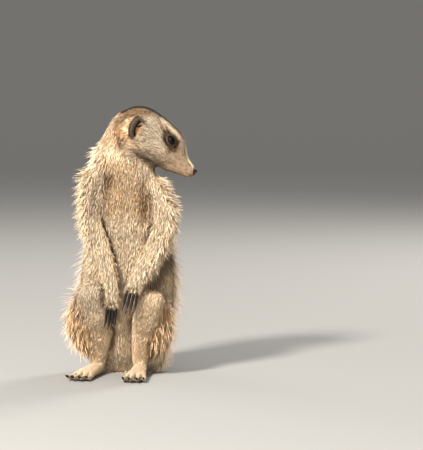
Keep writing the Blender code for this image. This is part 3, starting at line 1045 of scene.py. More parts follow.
kindTones = {
    # the plain tones of each kind of coat; what follows adds to them
    "neck": {"pale": 0.88, "grizzle": 0.15},
    "front": {"pale": 0.92, "grey": 0.05, "grizzle": 0.14},
    "arm": {"pale": 0.56, "grey": 0.05, "grizzle": 0.24},
    "paw": {"pale": 0.80, "grey": 0.10, "grizzle": 0.30},
    "thigh": {"pale": 0.22, "rust": 0.24, "grizzle": 0.40},
    "shank": {"pale": 0.76, "grey": 0.06, "grizzle": 0.30},
    "foot": {"dark": 0.05, "pale": 0.58, "grey": 0.34, "grizzle": 0.30},
    "flank": {"pale": 0.30, "rust": 0.15, "grizzle": 0.90},
    "back": {"pale": 0.30, "rust": 0.15, "grizzle": 0.90},
    "tail": {"pale": 0.25, "rust": 0.26, "grizzle": 0.50},
}
markTones = {
    # the marks of the head that cover what lies under them
    "brow": {"pale": 0.95, "grey": 0.12, "grizzle": 0.2},
    # the bridge's white stripe, with painted light on it where it faces away from the lamps
    "bridge": {"pale": 1.0, "grey": 0.10, "grizzle": 0.1, "light": 0.8},
    "eyePatch": {"dark": 0.76, "rust": 0.34, "pale": 0.3, "grizzle": 0.2},
    "lips": {"dark": 0.95, "leather": 0.5},
    "lids": {"dark": 0.94, "rust": 0.1},
    "lidRims": {"dark": 1.0, "leather": 1.0},
    "nose": {"dark": 1.0, "leather": 1.0},
    "ear": {"dark": 1.0, "grey": 0.6, "rust": 0.08, "pale": 0.1},
    "earFolds": {"dark": 0.30, "rust": 0.60, "pale": 0.4, "grey": 0.25},
    "earGaps": {"dark": 1.0, "leather": 0.9},
}


def markChest(marks, points, normals, shares):
    # a tan shield that fades into a cream belly, with brown hollows beside the arms that are partly the
    # coat's colour and partly painted shade
    front, neck, arm = (shareOf(shares, kind) for kind in ("front", "neck", "arm"))
    across, _, height = points.T / mm
    seen = points[:, (0, 2)] / mm
    aside = points @ bodyLeft / mm + 7.0
    forward = normals @ bodyFront
    raised = ease(height, 156, 178)
    off = np.abs(across + 1.5 + 8.5 * raised) - (22 - 8 * raised)
    shield = between(height, 134, 152, 184, 198) * (1 - ease(off, -6, 6))
    marks.add(neck * shield, pale=-0.50, grey=0.14)
    marks.add(front * shield, pale=-0.56, rust=0.12, grey=0.16)
    marks.add(neck * ease(-forward, -0.3, 0.6), rust=0.12)
    marks.add(neck * (1 - ease(height, 186, 204)), rust=0.08)

    # the line beside the right arm, the hollow beside each, and the dusky patch over the right one: the
    # coat's brown and tan, darkened with painted shade where the arms shade the chest
    line = 1 - ease(lineDistance(seen, markPlan["armPit"]), 2, 7)
    marks.add(line * (front + arm) * ease(forward, 0.0, 0.4), dark=0.24, rust=0.20)
    hollows = ease(np.abs(aside) - 3 * (aside > 0), 13, 21) * (1 - ease(np.abs(aside), 26, 34))
    hollows = hollows * ease(height, 104, 134)
    marks.add(front * hollows * (1 - ease(height, 168, 180)), rust=0.24)
    inward = -(normals @ bodyLeft) * np.sign(aside)
    shaded = (front + arm * ease(inward, -0.4, 0.2)) * between(height, 134, 146, 172, 184)
    # painted shade in the hollows and on the inner sides of the arms
    marks.add(hollows * shaded, dark=0.56, rust=0.30)
    duskyTanAndShade = 1 - ease(np.hypot((across + 21) / 9, (height - 175) / 11), 0.3, 1.1)
    marks.add((front + neck + arm) * duskyTanAndShade * ease(forward, 0.0, 0.5), dark=0.40, rust=0.18)


def markLimbs(marks, points, normals, shares):
    # arms paler in front and rustier behind, partly their coat and partly painted shading of a lit front and
    # a shaded back; greyer knees, and more of it on the right leg; painted light low on the shins
    arm, thigh, shank = (shareOf(shares, kind) for kind in ("arm", "thigh", "shank"))
    across, _, height = points.T / mm
    forward = normals @ bodyFront
    # partly painted shading: the arms' fronts paler as if lit, their backs rustier as if shaded
    marks.add(arm * ease(forward, 0.2, 0.85), pale=0.36)
    marks.add(arm * ease(-forward, 0.0, 0.7), rust=0.16)
    rightLeg = across < -12
    marks.add((thigh + shank) * ease(height, 52, 74) * rightLeg, grey=0.34, dark=0.06)
    marks.add(shank * rightLeg, grey=0.14)
    marks.add(shank * rightLeg * (1 - ease(height, 40, 62)), rust=0.12)
    marks.add(shank * (points @ bodyLeft / mm > -7.0), rust=0.12)
    # painted light low on the shins, which lie in shade between the legs
    marks.add(shank * (1 - ease(height, 32, 46)), light=0.35)


def markBack(marks, points, normals, shares, patch, flecks):
    # painted shadow under the left arm, bars across the back, and the tail's dark end
    front, flank = shareOf(shares, "front"), shareOf(shares, "flank", "back")
    across, _, height = points.T / mm
    forward = normals @ bodyFront
    under = (front + flank) * ease(across, 8, 14) * ease(forward, -0.5, -0.1)
    underArmShadow = lineDistance(points[:, (0, 2)] / mm, markPlan["underArmShadow"])
    # painted shadow cast by the left forearm on the flank, with a wider brown band of painted shade round it
    marks.add(under * (1 - ease(underArmShadow, 2, 7)), dark=0.55)
    marks.add(under * (1 - ease(underArmShadow, 8, 22)), dark=0.16, rust=0.14)
    backward = ease(-forward, 0.05, 0.55) * flank
    low, high = markPlan["bandLow"], markPlan["bandTop"]
    span = (high - low) / (markPlan["bands"] - 1)
    bar = ease(np.cos((height + 2.4 * patch - low) / span * 2 * math.pi), 0.0, 0.85)
    marks.add(bar * between(height, low - 8, low, high, high + 10) * backward, dark=markPlan["bandShare"])
    marks.add(backward, dark=0.10)
    alongTail = (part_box("tail_tip")[1][1] - points[:, 1]) / mm
    end = 1 - ease(alongTail + 2 * flecks, markPlan["tailDark"] * 0.7, markPlan["tailDark"] * 1.2)
    marks.add(shareOf(shares, "tail") * end, dark=0.95)


class HeadView:
    # the skin's points in the head's axes, and what its markings share
    def __init__(self, points, shares, patch, flecks):
        self.points = points
        self.patch = patch
        self.flecks = flecks
        self.places = inHead(points)
        self.side = self.places[:, (0, 2)]
        self.back, self.up = self.side.T
        self.aside = np.abs(self.places[:, 1])
        self.neck = shareOf(shares, "neck")
        self.onHead = np.clip(shareOf(shares, "muzzle", "face"), 0, 1)
        streaks = softNoise(self.places * (0.34, 1.0, 1.0) * mm, 1.9, 13)
        self.darker, self.paler, _ = ease(streaks, 0.25, 1.2).T
        capLine = np.interp(self.back, *markPlan["cap"])
        self.crown = ease(self.up - capLine + 0.8 * patch, -2.5, 2.0) * ease(self.back, 24, 34)
        self.nape = ease(points[:, 2] / mm + 2 * patch, 199, 210) * ease(self.back, 56, 70)

    def nearLine(self, name, full, none):
        return 1 - ease(lineDistance(self.side, markPlan[name]), full, none)

    def oval(self, back, up, halfLong, halfHigh, tilt=0.0, soft=0.6):
        # 1 inside a tilted oval in the head's side plane, 0 outside it
        turn = math.radians(tilt)
        dx, dz = self.back - back, self.up - up
        along = dx * math.cos(turn) + dz * math.sin(turn)
        across = -dx * math.sin(turn) + dz * math.cos(turn)
        return 1 - ease(np.sqrt((along / halfLong) ** 2 + (across / halfHigh) ** 2), 1 - soft, 1 + soft)


def markCrown(marks, view):
    # pale ground, grizzled crown and nape, a darker speckled muzzle, and painted light on the nape
    onHead, crown, nape, darker, paler = view.onHead, view.crown, view.nape, view.darker, view.paler
    marks.add(onHead, pale=0.66, grey=0.60, grizzle=0.80, dark=0.10)
    marks.add(onHead * crown, pale=-0.50, grey=0.15, dark=0.42, rust=0.20)
    marks.add(onHead * nape, pale=-0.40, grey=-0.40, dark=-0.06, rust=0.13)
    marks.add(onHead * np.maximum(crown, nape), grizzle=0.20)
    # painted light on the nape below the crown, which lies in shade behind the head
    marks.add(onHead * nape * (1 - crown), light=0.40)
    marks.add(onHead * paler, pale=0.45, grey=-0.50)
    marks.add(onHead * (0.36 + 0.2 * crown) * darker, dark=1.0)
    marks.add(onHead * (1 - ease(view.back, 20, 44)), grey=0.16)
    topOfNeck = view.neck * nape
    marks.add(topOfNeck, dark=0.03, grizzle=0.60, pale=-0.30, rust=0.14)
    marks.add(topOfNeck * crown, dark=0.20)
    marks.add(topOfNeck * darker, dark=0.25)
    muzzle = (1 - ease(view.back, 16, 36)) * onHead
    marks.add(muzzle, pale=-0.46, grey=-0.12, rust=0.24)
    marks.add(muzzle * (0.20 + 0.30 * darker) * ease(view.up + 0.25 * view.back, -9, 2), dark=1.0)
    lower = onHead * (1 - ease(view.up + 0.16 * view.back, -9.5, -6.0)) * (1 - ease(view.back, 40, 58))
    marks.add(lower, grey=0.12, dark=0.10)


def markStripes(marks, view):
    # the dark line over the crown, the white stripes beside it and down the bridge, with painted light on the
    # bridge, and the temple
    onHead, aside = view.onHead, view.aside
    onTop = np.clip(onHead + view.neck * (view.back < 100), 0, 1)
    middleLine = (1 - ease(aside, 4.0, 9.0)) * ease(view.up, 0, 6) * between(view.back, 22, 29, 78, 94)
    marks.add(onTop * middleLine, dark=0.85, pale=-0.40)
    brow = view.nearLine("brow", 1.0, 3.0) * ease(aside, 3.0, 6.0)
    marks.turnTo("brow", onHead * brow * 0.8)
    bridge = view.nearLine("bridge", 1.6, 3.4) * (1 - ease(aside, 3.0, 6.0))
    marks.turnTo("bridge", onHead * bridge * 0.9)
    marks.add(onHead * view.oval(52, 4, 13, 11, soft=0.5), grey=0.14, dark=0.05)


def markEyePatch(marks, view):
    # the dark patch round the eye, the tear under its inner corner, and the streak up and back
    onHead, offMiddle = view.onHead, ease(view.aside, 3.5, 6.5)
    eyePatch = insideOutline(view.side, markPlan["eyePatch"], 1.3) * offMiddle
    marks.turnTo("eyePatch", onHead * eyePatch)
    marks.add(onHead * eyePatch * view.darker, dark=0.25)
    marks.add(onHead * view.oval(27, 3.0, 5.5, 3.6, 30) * eyePatch, rust=0.22)
    tear = np.hypot((view.back - 26.4) / 2.6, (view.up - 5.0) / 1.9)
    marks.add(onHead * np.exp(-((tear - 1) / 0.28) ** 2) * offMiddle, dark=0.50)
    marks.add(onHead * (1 - ease(tear, 0.4, 0.8)) * offMiddle, dark=-0.45)
    marks.add(onHead * view.nearLine("streak", 0.8, 2.4) * ease(view.aside, 5, 9), dark=0.30, rust=0.35)


def markCheeks(marks, view):
    # jaw streaks, the rust behind and below the ear, and painted light there and on the right of the neck
    for line in markPlan["jawLines"]:
        trace = 1 - ease(lineDistance(view.side, line) + 0.5 * view.flecks, 0.4, 1.7)
        marks.add(view.onHead * trace, dark=0.34, rust=0.30)
    near, far = ease(view.aside, 6, 12), ease(view.aside, 4, 10)
    marks.add(view.oval(62, -13.5, 14, 4.5, -6) * near, rust=0.26, pale=0.10)
    rusty = view.oval(73.5, -10.5, 6.5, 4.0, 10) * near
    marks.add(rusty * (0.6 + 0.4 * view.patch), rust=0.34)
    marks.add(rusty * np.clip(view.flecks, 0, 1), dark=0.15)
    behind = view.oval(79, 0, 9, 10) * far
    marks.add(behind, rust=0.06)
    # painted light behind and below the ear and on the right of the neck, where the coat lies in shade behind
    # the head
    marks.add(behind * (1 - view.crown), light=0.60)
    marks.add(view.oval(68, -18, 14, 12) * far, light=1.0, dark=-0.14, grey=-0.25, rust=0.08)
    marks.add(view.neck * (1 - ease(view.points[:, 0] / mm, -20, -6)), light=0.35)


def markBareSkin(marks, view):
    # lips, lids and nose
    lips = np.exp(-(mouthDistance(view.places) / 0.8) ** 2) * view.onHead * (view.back < 19)
    marks.turnTo("lips", lips * ease(view.aside, 0.6, 1.6) * 0.85)
    for side in sides:
        close = np.linalg.norm(view.points - eyeMiddles[side], axis=1) < 9 * mm
        opening = openingShare(view.points, side)
        marks.turnTo("lids", (1 - ease(opening, 1.42, 1.66)) * close)
        marks.add(np.exp(-((opening - eyePlan["foldAt"]) / 0.12) ** 2) * close, dark=0.35)
        marks.turnTo("lidRims", (1 - ease(opening, 1.14, 1.24)) * close)
    onNose = 1 - ease(noseShare(view.points, 1.5), 0.96, 1.10)
    marks.turnTo("nose", onNose)
    slit = lineDistance(mirrored(view.places), (facePlan["nostril"], facePlan["slit"]))
    marks.add(onNose * np.exp(-slit ** 2), rust=1.0)


def markEars(marks, points, shares):
    # a dark olive rim with a lighter band along it, partly its coat and partly a painted highlight; a black
    # gap behind the folds, orange-brown folds in front of it
    onEar = shareOf(shares, "ear")
    (gapLine, gapWide, _), (crossLine, crossWide, _) = earPlan["gap"], earPlan["cross"]
    for side in sides:
        places = inEar(points, side)
        forward, up, out = places.T
        cup = (1 - ease(np.hypot((forward - 2.0) / 4.8, up / 8.2), 0.85, 1.05)) * (np.abs(out) < 7)
        here = np.maximum(onEar * (np.linalg.norm(places, axis=1) < 16), cup)
        marks.turnTo("ear", here)
        # a lighter band along the rim: partly its olive coat, partly a painted highlight
        stripe = np.exp(-((np.hypot((forward - 1.0) / 6.4, up / 10.5) - 0.82) / 0.14) ** 2)
        marks.add(here * stripe, dark=-0.10)
        gap = 1 - ease(lineDistance(places[:, :2], gapLine), 0.5 * gapWide, 1.5 * gapWide)
        cross = 1 - ease(lineDistance(places[:, :2], crossLine), 0.4 * crossWide, 1.6 * crossWide)
        folds = ease(forward, 0.4, 1.4) * (1 - ease(np.hypot((forward - 2.6) / 4.2, up / 8.0), 0.9, 1.1))
        facing = here * ease(out, -3.0, -1.0)
        marks.turnTo("earFolds", facing * folds)
        marks.turnTo("earGaps", facing * np.maximum(gap, cross))


def layMarks(points, normals, shares):
    marks = Marks(len(points))
    patch = softNoise(points, 6, 11)[:, 0]
    flecks = softNoise(points, 2.2, 12)[:, 0]
    for kind, amounts in kindTones.items():
        marks.add(shareOf(shares, kind), **amounts)
    markChest(marks, points, normals, shares)
    markLimbs(marks, points, normals, shares)
    markBack(marks, points, normals, shares, patch, flecks)
    view = HeadView(points, shares, patch, flecks)
    for mark in (markCrown, markStripes, markEyePatch, markCheeks, markBareSkin):
        mark(marks, view)
    markEars(marks, points, shares)
    marks.add(flecks, dark=0.03)
    marks.add(patch, pale=0.05)
    return marks.clipped()


def setVector(mesh, name, columns):
    attribute = mesh.attributes.new(name, "FLOAT_VECTOR", "POINT")
    attribute.data.foreach_set("vector", np.ascontiguousarray(np.stack(columns, axis=1), np.float32).ravel())


def grainPlaces(points, shares):
    # places for the fine bump of short hair, stretched along the lie of the head's and the feet's coat
    places = inHead(points) * (0.30, 1.0, 1.0)
    for foot in footNodes:
        for side in sides:
            centre, ahead, across, _ = footAxes(foot, side)
            axes = np.array((ahead, across, np.cross(ahead, across)))
            kind = "paw" if foot == "fore" else "foot"
            mine = (shareOf(shares, kind) > 0.4) & onBodySide(points, side)
            places[mine] = ((points[mine] - centre) @ axes.T / mm) * (0.30, 1.0, 1.0)
    return places


partPlan = {
    # how much darker the coat is where it parts, a painted shade along the creases and between the toes; how
    # much lower it is there; and how much lighter the painted light marks make it
    "shade": 0.88,
    "lower": 0.6,
    "light": 0.7,
}
lie = hairLie(skinPoints, evenNormals, coatShares, skinEdges)
tones = layMarks(skinPoints, evenNormals, coatShares)
shortCoat = np.clip(shareOf(coatShares, "muzzle", "face", "ear", "paw", "foot"), 0, 1)
unevenly = softNoise(skinPoints, 1.6, 5)[:, 1]
setVector(skinMesh, "markings", (tones["dark"], tones["rust"], tones["pale"]))
# the skin's shade: painted shade along the creases and between the toes, and painted light
parted = 1 - partPlan["shade"] * coatParting
shadeOfSkin = (0.85 + 0.1 * unevenly) * parted * (1 + partPlan["light"] * tones["light"])
# the skin takes the coat's root colour with its painted shade, less of it under the short coat
setVector(skinMesh, "strand", (0.15 + 0.40 * shortCoat, 0.5 + 0.2 * unevenly, shadeOfSkin))
setVector(skinMesh, "tone", (tones["grey"], tones["grizzle"] * 0.3, tones["leather"]))
setVector(skinMesh, "grain", grainPlaces(skinPoints, coatShares).T)
print("markings laid")

coatColours = {
    "tan": (0.86, 0.58, 0.31),
    "cream": (0.98, 0.82, 0.61),
    "grey": (0.50, 0.43, 0.345),
    "rust": (0.58, 0.255, 0.065),
    "dark": (0.040, 0.024, 0.014),
    "tipDark": (0.045, 0.026, 0.016),
    "tipPale": (0.98, 0.91, 0.78),
    "leather": (0.010, 0.008, 0.007),
    "leatherPink": (0.52, 0.11, 0.055),
    "root": (0.46, 0.37, 0.29),  # a tuft's root: the hair's darker base, and painted shade where other tufts cover it
    "fullAt": 0.62,  # where along the tuft it reaches its full colour
    "dimTint": (1.0, 0.91, 0.80),  # dark locks and painted shade are warmer
    "darkTips": 0.36,  # the share of tufts with dark ends where the coat is fully grizzled
    "paleTips": 0.55,
}


def rgb(name, plan=coatColours):
    return (*plan[name], 1)


def makeCoatGroup():
    # the coat's colour, from its markings and from the place along a tuft
    inputs = {"Markings": ("Vector", None), "Strand": ("Vector", None), "Tone": ("Vector", None)}
    group, given, out = newGroup("coatColour", inputs, {"Color": "Color", "Roughness": "Float"})
    isDark, isRust, isPale = put(group, "SeparateXYZ", {0: given["Markings"]}).outputs
    along, chance, shade = put(group, "SeparateXYZ", {0: given["Strand"]}).outputs
    isGrey, grizzled, bare = put(group, "SeparateXYZ", {0: given["Tone"]}).outputs
    colour = rgb("tan")
    for share, name in ((isPale, "cream"), (isGrey, "grey"), (isRust, "rust"), (isDark, "dark")):
        colour = blendColour(group, share, colour, rgb(name))
    # ticking: some tufts end dark, some pale
    tip = ramp(group, along, 0.45, 0.85)
    darkTuft = ramp(group, chance, coatColours["darkTips"] + 0.04, coatColours["darkTips"] - 0.04)
    darkTip = maths(group, "MULTIPLY", maths(group, "MULTIPLY", darkTuft, tip), grizzled)
    paleTuft = ramp(group, chance, 0.45, 0.75)
    notDark = ramp(group, isDark, 0.25, 0.8, 1.0, 0.05)
    paleTip = maths(group, "MULTIPLY", maths(group, "MULTIPLY", paleTuft, tip), notDark)
    paleTip = maths(group, "MULTIPLY", paleTip, coatColours["paleTips"])
    colour = blendColour(group, darkTip, colour, rgb("tipDark"))
    colour = blendColour(group, paleTip, colour, rgb("tipPale"))
    # darker towards the root: the hair's darker base and painted shade under the tufts over it
    full = ramp(group, along, 0.0, coatColours["fullAt"])
    colour = tinted(group, colour, blendColour(group, full, rgb("root"), (1, 1, 1, 1)))
    dim = blendColour(group, ramp(group, shade, 0.2, 1.0), rgb("dimTint"), (1, 1, 1, 1))
    colour = tinted(group, colour, dim)
    colour = tinted(group, colour, greyColour(group, shade))
    hide = blendColour(group, isRust, rgb("leather"), rgb("leatherPink"))
    colour = blendColour(group, bare, colour, hide)
    group.links.new(colour, out["Color"])
    hairRough = ramp(group, chance, 0.0, 1.0, 0.50, 0.70)
    group.links.new(ramp(group, bare, 0.0, 1.0, hairRough, 0.42), out["Roughness"])
    return group


def makeGrainGroup():
    # a fine uneven height, for hide, short hair and horn
    inputs = {"Place": ("Vector", None)}
    inputs.update({label: ("Float", 1.0) for label in ("Scale", "Rough", "Pebbles")})
    group, given, out = newGroup("fineGrain", inputs, {"Height": "Float", "Mask": "Float"})
    feeds = {"Vector": given["Place"], "Scale": given["Scale"], "Detail": 3.0, "Roughness": given["Rough"]}
    broad = put(group, "TexNoise", feeds)
    cells = put(group, "TexVoronoi", {"Vector": given["Place"], "Scale": given["Scale"]})
    height = maths(group, "MULTIPLY_ADD", cells.outputs[0], given["Pebbles"], broad.outputs[0])
    group.links.new(height, out["Height"])
    group.links.new(ramp(group, broad.outputs[0], 0.35, 0.65), out["Mask"])
    return group


coatGroup = makeCoatGroup()
grainGroup = makeGrainGroup()


def readAttribute(tree, name):
    return put(tree, "Attribute", attribute_name=name).outputs["Vector"]


def readCoat(tree):
    # the coat group fed from a mesh's own attributes
    feeds = {label: readAttribute(tree, label.lower()) for label in ("Markings", "Strand", "Tone")}
    return useGroup(tree, coatGroup, feeds), feeds["Tone"]


def coatMaterial():
    made, tree, inputs = newMaterial("coat", Specular_IOR_Level=0.20)
    given, _ = readCoat(tree)
    tree.links.new(given["Color"], inputs["Base Color"])
    tree.links.new(given["Roughness"], inputs["Roughness"])
    return made


def skinMaterial():
    # short lying hair as a streaky bump, and pebbled leather on the nose, lips and lids
    made, tree, inputs = newMaterial("skinUnderCoat", Specular_IOR_Level=0.25)
    given, tone = readCoat(tree)
    bare = put(tree, "SeparateXYZ", {0: tone}).outputs[2]
    place = readAttribute(tree, "grain")
    hair = useGroup(tree, grainGroup, {"Place": place, "Scale": 3.4, "Rough": 0.75, "Pebbles": 0.0})
    hide = useGroup(tree, grainGroup, {"Place": place, "Scale": 2.6, "Rough": 0.4, "Pebbles": 1.2})
    shadow = ramp(tree, hair["Mask"], 0.0, 1.0, 0.62, 1.06)
    shadow = ramp(tree, bare, 0.0, 1.0, shadow, 1.0)
    tree.links.new(tinted(tree, given["Color"], greyColour(tree, shadow)), inputs["Base Color"])
    tree.links.new(given["Roughness"], inputs["Roughness"])
    height = ramp(tree, bare, 0.0, 1.0, hair["Height"], hide["Height"])
    bump = put(tree, "Bump", {"Strength": 0.7, "Distance": 0.00035, "Height": height})
    tree.links.new(bump.outputs["Normal"], inputs["Normal"])
    return made


furMaterial = coatMaterial()
skinMesh.materials.append(skinMaterial())


ballPlan = {
    "margin": 0.05,  # how much smaller than its solid it is
    "cornea": 36.0,  # half angle of the clear bulge
    "bulge": 0.35,
    "iris": 40.0,  # half angle of the iris
    "ring": ((31.0, 36.0), (45.0, 40.0)),  # where the dark ring sets in and ends
    "pupil": (22.0, 15.0),  # half angles along and up
    "white": (0.010, 0.006, 0.004),
    "brown": (0.004, 0.0024, 0.0016),
    "brownLight": (0.011, 0.0050, 0.0026),
    "black": (0.002, 0.0015, 0.0015),
}


def eyeMaterial():
    # brown iris with fine spokes, a lying oval pupil and a dark ring, under a wet coat
    made, tree, inputs = newMaterial("eyeball", Roughness=0.2, Specular_IOR_Level=0.05)
    inputs["Coat Weight"].default_value = 0.14
    inputs["Coat Roughness"].default_value = 0.02
    along, rise, angle = put(tree, "SeparateXYZ", {0: readAttribute(tree, "gaze")}).outputs
    flat = put(tree, "CombineXYZ", {0: along, 1: rise}).outputs[0]
    ways = put(tree, "VectorMath", {0: flat}, operation="NORMALIZE").outputs[0]
    spokes = put(tree, "TexNoise", {"Vector": ways, "Scale": 9.0, "Detail": 4.0, "Roughness": 0.7}).outputs[0]
    spoke = ramp(tree, spokes, 0.35, 0.65)
    colour = blendColour(tree, spoke, rgb("brown", ballPlan), rgb("brownLight", ballPlan))
    edge = ramp(tree, angle, ballPlan["iris"] * 0.82, ballPlan["iris"])
    colour = blendColour(tree, edge, colour, rgb("white", ballPlan))
    ring = maths(tree, "MULTIPLY", *(ramp(tree, angle, *limits) for limits in ballPlan["ring"]))
    colour = blendColour(tree, ring, colour, rgb("black", ballPlan))
    shares = [maths(tree, "DIVIDE", way, half) for way, half in zip((along, rise), ballPlan["pupil"])]
    squares = [maths(tree, "MULTIPLY", share, share) for share in shares]
    far = maths(tree, "SQRT", maths(tree, "ADD", *squares))
    colour = blendColour(tree, ramp(tree, far, 1.08, 0.95), colour, rgb("black", ballPlan))
    tree.links.new(colour, inputs["Base Color"])
    return made


def makeEye(side, material):
    middle, radius, along, rise, out = eyeAxes(side)
    bm = bmesh.new()
    bmesh.ops.create_uvsphere(bm, u_segments=64, v_segments=40, radius=radius - ballPlan["margin"] * mm)
    turn = Matrix(np.array((along, rise, out)).T.tolist())
    for v in bm.verts:
        share = math.degrees(v.co.angle(Vector((0, 0, 1)))) / ballPlan["cornea"]
        v.co *= 1 + ballPlan["bulge"] * mm / radius * max(0.0, 1 - share * share)
    bmesh.ops.transform(bm, matrix=Matrix.Translation(Vector(middle)) @ turn.to_4x4(), verts=bm.verts)
    bmesh.ops.recalc_face_normals(bm, faces=bm.faces)
    mesh = meshFrom(bm, "eyeball")
    mesh.shade_smooth()
    angle, way, _ = roundEye(readPoints(mesh), side)
    setVector(mesh, "gaze", (angle * np.cos(way), angle * np.sin(way), angle))
    mesh.materials.append(material)
    return addPiece("eye" + side.capitalize(), mesh, ["eye_" + side])


eyeballMaterial = eyeMaterial()
for side in sides:
    makeEye(side, eyeballMaterial)
print("eyes set")


clawPlan = {
    "swell": 0.32,
    "horn": (0.010, 0.008, 0.008),
    "hornTip": (0.040, 0.018, 0.011),
    "roughness": 0.30,
    "tipFrom": (11.0, 18.0),  # how far out from the root its tip begins to pale
}


def hornMaterial():
    made, tree, inputs = newMaterial("clawHorn", Roughness=clawPlan["roughness"], Specular_IOR_Level=0.14)
    length = readAttribute(tree, "length")
    along, _, _ = put(tree, "SeparateXYZ", {0: length}).outputs
    stretched = put(tree, "VectorMath", {0: length, 1: (0.08, 1.0, 1.0)}, operation="MULTIPLY").outputs[0]
    grain = useGroup(tree, grainGroup, {"Place": stretched, "Scale": 3.0, "Rough": 0.6, "Pebbles": 0.0})
    tip = maths(tree, "MULTIPLY", ramp(tree, along, *clawPlan["tipFrom"]), 0.85)
    colour = blendColour(tree, tip, rgb("horn", clawPlan), rgb("hornTip", clawPlan))
    streak = ramp(tree, grain["Mask"], 0.0, 1.0, 0.8, 1.2)
    tree.links.new(tinted(tree, colour, greyColour(tree, streak)), inputs["Base Color"])
    bump = put(tree, "Bump", {"Strength": 0.2, "Distance": 0.0001, "Height": grain["Height"]})
    tree.links.new(bump.outputs["Normal"], inputs["Normal"])
    return made


def makeClaw(foot, side, number, material):
    # the solid's form made round and smooth
    name = f"{foot}_{side}_claw_{number}"
    mesh = mergedCopy(name, clawPlan["swell"] * mm)
    points = readPoints(mesh)
    _, ahead, across, _ = footAxes(foot, side)
    start = points[np.argmin(points @ ahead)]
    axes = np.array((ahead, across, np.cross(ahead, across)))
    setVector(mesh, "length", ((points - start) @ axes.T / mm).T)
    mesh.shade_smooth()
    mesh.materials.append(material)
    claw = addPiece(f"claw{foot.capitalize()}{side.capitalize()}{number}", mesh, [name])
    smooth = claw.modifiers.new("smooth", "SUBSURF")
    smooth.levels = 2
    smooth.render_levels = 2


horn = hornMaterial()
for foot in footNodes:
    for side in sides:
        for number in range(1, 5):
            makeClaw(foot, side, number, horn)
print("claws set")


coatPlan = {
    "patch": 0.003,  # side of a tuft's patch on the skin's unwrap
    "share": 1.0 if fine else 0.3,  # of the full crowd of tufts
    "shape": {1: (1.0,), 2: (0.75, 1.0)},  # a tuft's width at each ring, for short and long coat
    "over": {1: 0.22, 2: 0.32},  # the least it stays off the skin at each ring
    "lowest": 0.3,  # and off the ground
    "rooted": 0.30,  # how deep its root lies under the skin
    "steep": 1.35,  # how much faster it rises at its root
    "lengths": (0.80, 1.12),  # from least to most, of the usual
    "heights": (0.85, 1.1),
    "widths": (0.75, 1.2),
    "tints": (0.75, 1.15),
    "tallest": 0.8,  # of its length
    "ground": (0.5, 6),  # it grows shorter from here down to the ground
    "strayed": (0.9, 0.5),  # how much patches of the coat and single tufts stray
    "shorter": 0.5,  # how much shorter it is where the coat parts
    "curl": 4.2,  # how far its sideways wave turns from root to tip, radians
    "sway": 0.07,  # how far its tip swings aside, of its length
    "dimmest": 0.22,
    "flat": 0.38,  # painted shade: how much darker the short coat is, for the shadows it has none of its own
}
lockPlan = {
    "stretch": {1: 2.0, 2: 3.6},  # how much longer than wide a lock's patch of skin is
    "follow": 0.75,  # how much a tuft takes its lock's way
    "spread": 0.8,  # how much of their own place along the lock its tips keep
    "lengths": (0.82, 1.15),
    "lifts": (0.55, 1.05),  # how high its tips stand, of the coat's depth
    "proudLifts": (1.3, 2.0),
    "proudLonger": 1.15,
    "proudLighter": 1.08,
    "spiky": 0.30,  # the further share of locks that stand out along the arms' outer sides
    "spikyLift": 1.4,
    "shades": (0.62, 1.30),  # darkest and lightest lock
    "darker": 0.26,  # painted shade: how much darker a lock's outer tufts are, for the gaps between locks
    "lower": 0.40,  # how much lower they lie
}
coatPieces = {
    # piece: kinds, rings before the tip, slot, whether it is a left and a right one
    "coatFace": (("muzzle", "face", "ear"), 1, "coat_pale", False),
    "coatNeck": (("neck",), 2, "coat_pale", False),
    "coatFront": (("front",), 2, "coat_body", True),
    "coatFlank": (("flank", "back"), 2, "coat_body", True),
    "coatArm": (("arm",), 2, "coat_pale", True),
    "coatThigh": (("thigh",), 2, "coat_body", True),
    "coatShanks": (("shank",), 2, "coat_body", False),
    "coatFeet": (("paw", "foot"), 1, "coat_pale", False),
    "coatTail": (("tail",), 2, "coat_body", False),
}


class SkinSample:
    # what a tuft needs to know at its root, looked up from the skin's triangles
    def __init__(self):
        skinMesh.calc_loop_triangles()
        loops = readColumns(skinMesh.loop_triangles, "loops", kind=int)
        self.corners = readColumns(skinMesh.loop_triangles, "vertices", kind=int)
        self.uvs = readColumns(skinMesh.uv_layers["OFBake"].uv, "vector", 2)[loops]
        first, second, third = (skinPoints[self.corners[:, k]] for k in range(3))
        self.areas = np.linalg.norm(np.cross(second - first, third - first), axis=1) / 2 / mm ** 2

    def scatter(self, crowd, dice):
        # roots over the skin, crowd of them to a square millimetre
        expected = np.cumsum(self.areas * crowd[self.corners].mean(axis=1))
        count = int(expected[-1])
        at = (np.arange(count) + dice.random(count)) * expected[-1] / count
        self.triangle = np.minimum(np.searchsorted(expected, at), len(expected) - 1)
        first, second = np.sqrt(dice.random(count)), dice.random(count)
        self.weights = np.stack((1 - first, first * (1 - second), first * second), axis=1)
        return count

    def read(self, values):
        return np.einsum("nk,nk...->n...", self.weights, values[self.corners[self.triangle]])

    def kind(self, label):
        return self.read(fromKinds(coatShares, label))

    def tints(self):
        return {label: self.read(values) for label, values in tones.items()}

    def place(self):
        return np.einsum("nk,nkc->nc", self.weights, self.uvs[self.triangle])


barePlan = {
    # from bare to grown
    "lids": (1.30, 1.52),  # in openings
    "nose": (0.95, 1.12),  # in the nose's outline, grown by its margin
    "noseMargin": 1.2,
    "lips": (0.1, 0.5),
    "lipsEnd": 20,  # how far back they reach
    "inEar": (3.0, -0.3),  # the middle of its bare oval: forward, up
    "inEarHalves": (5.4, 8.4),
}


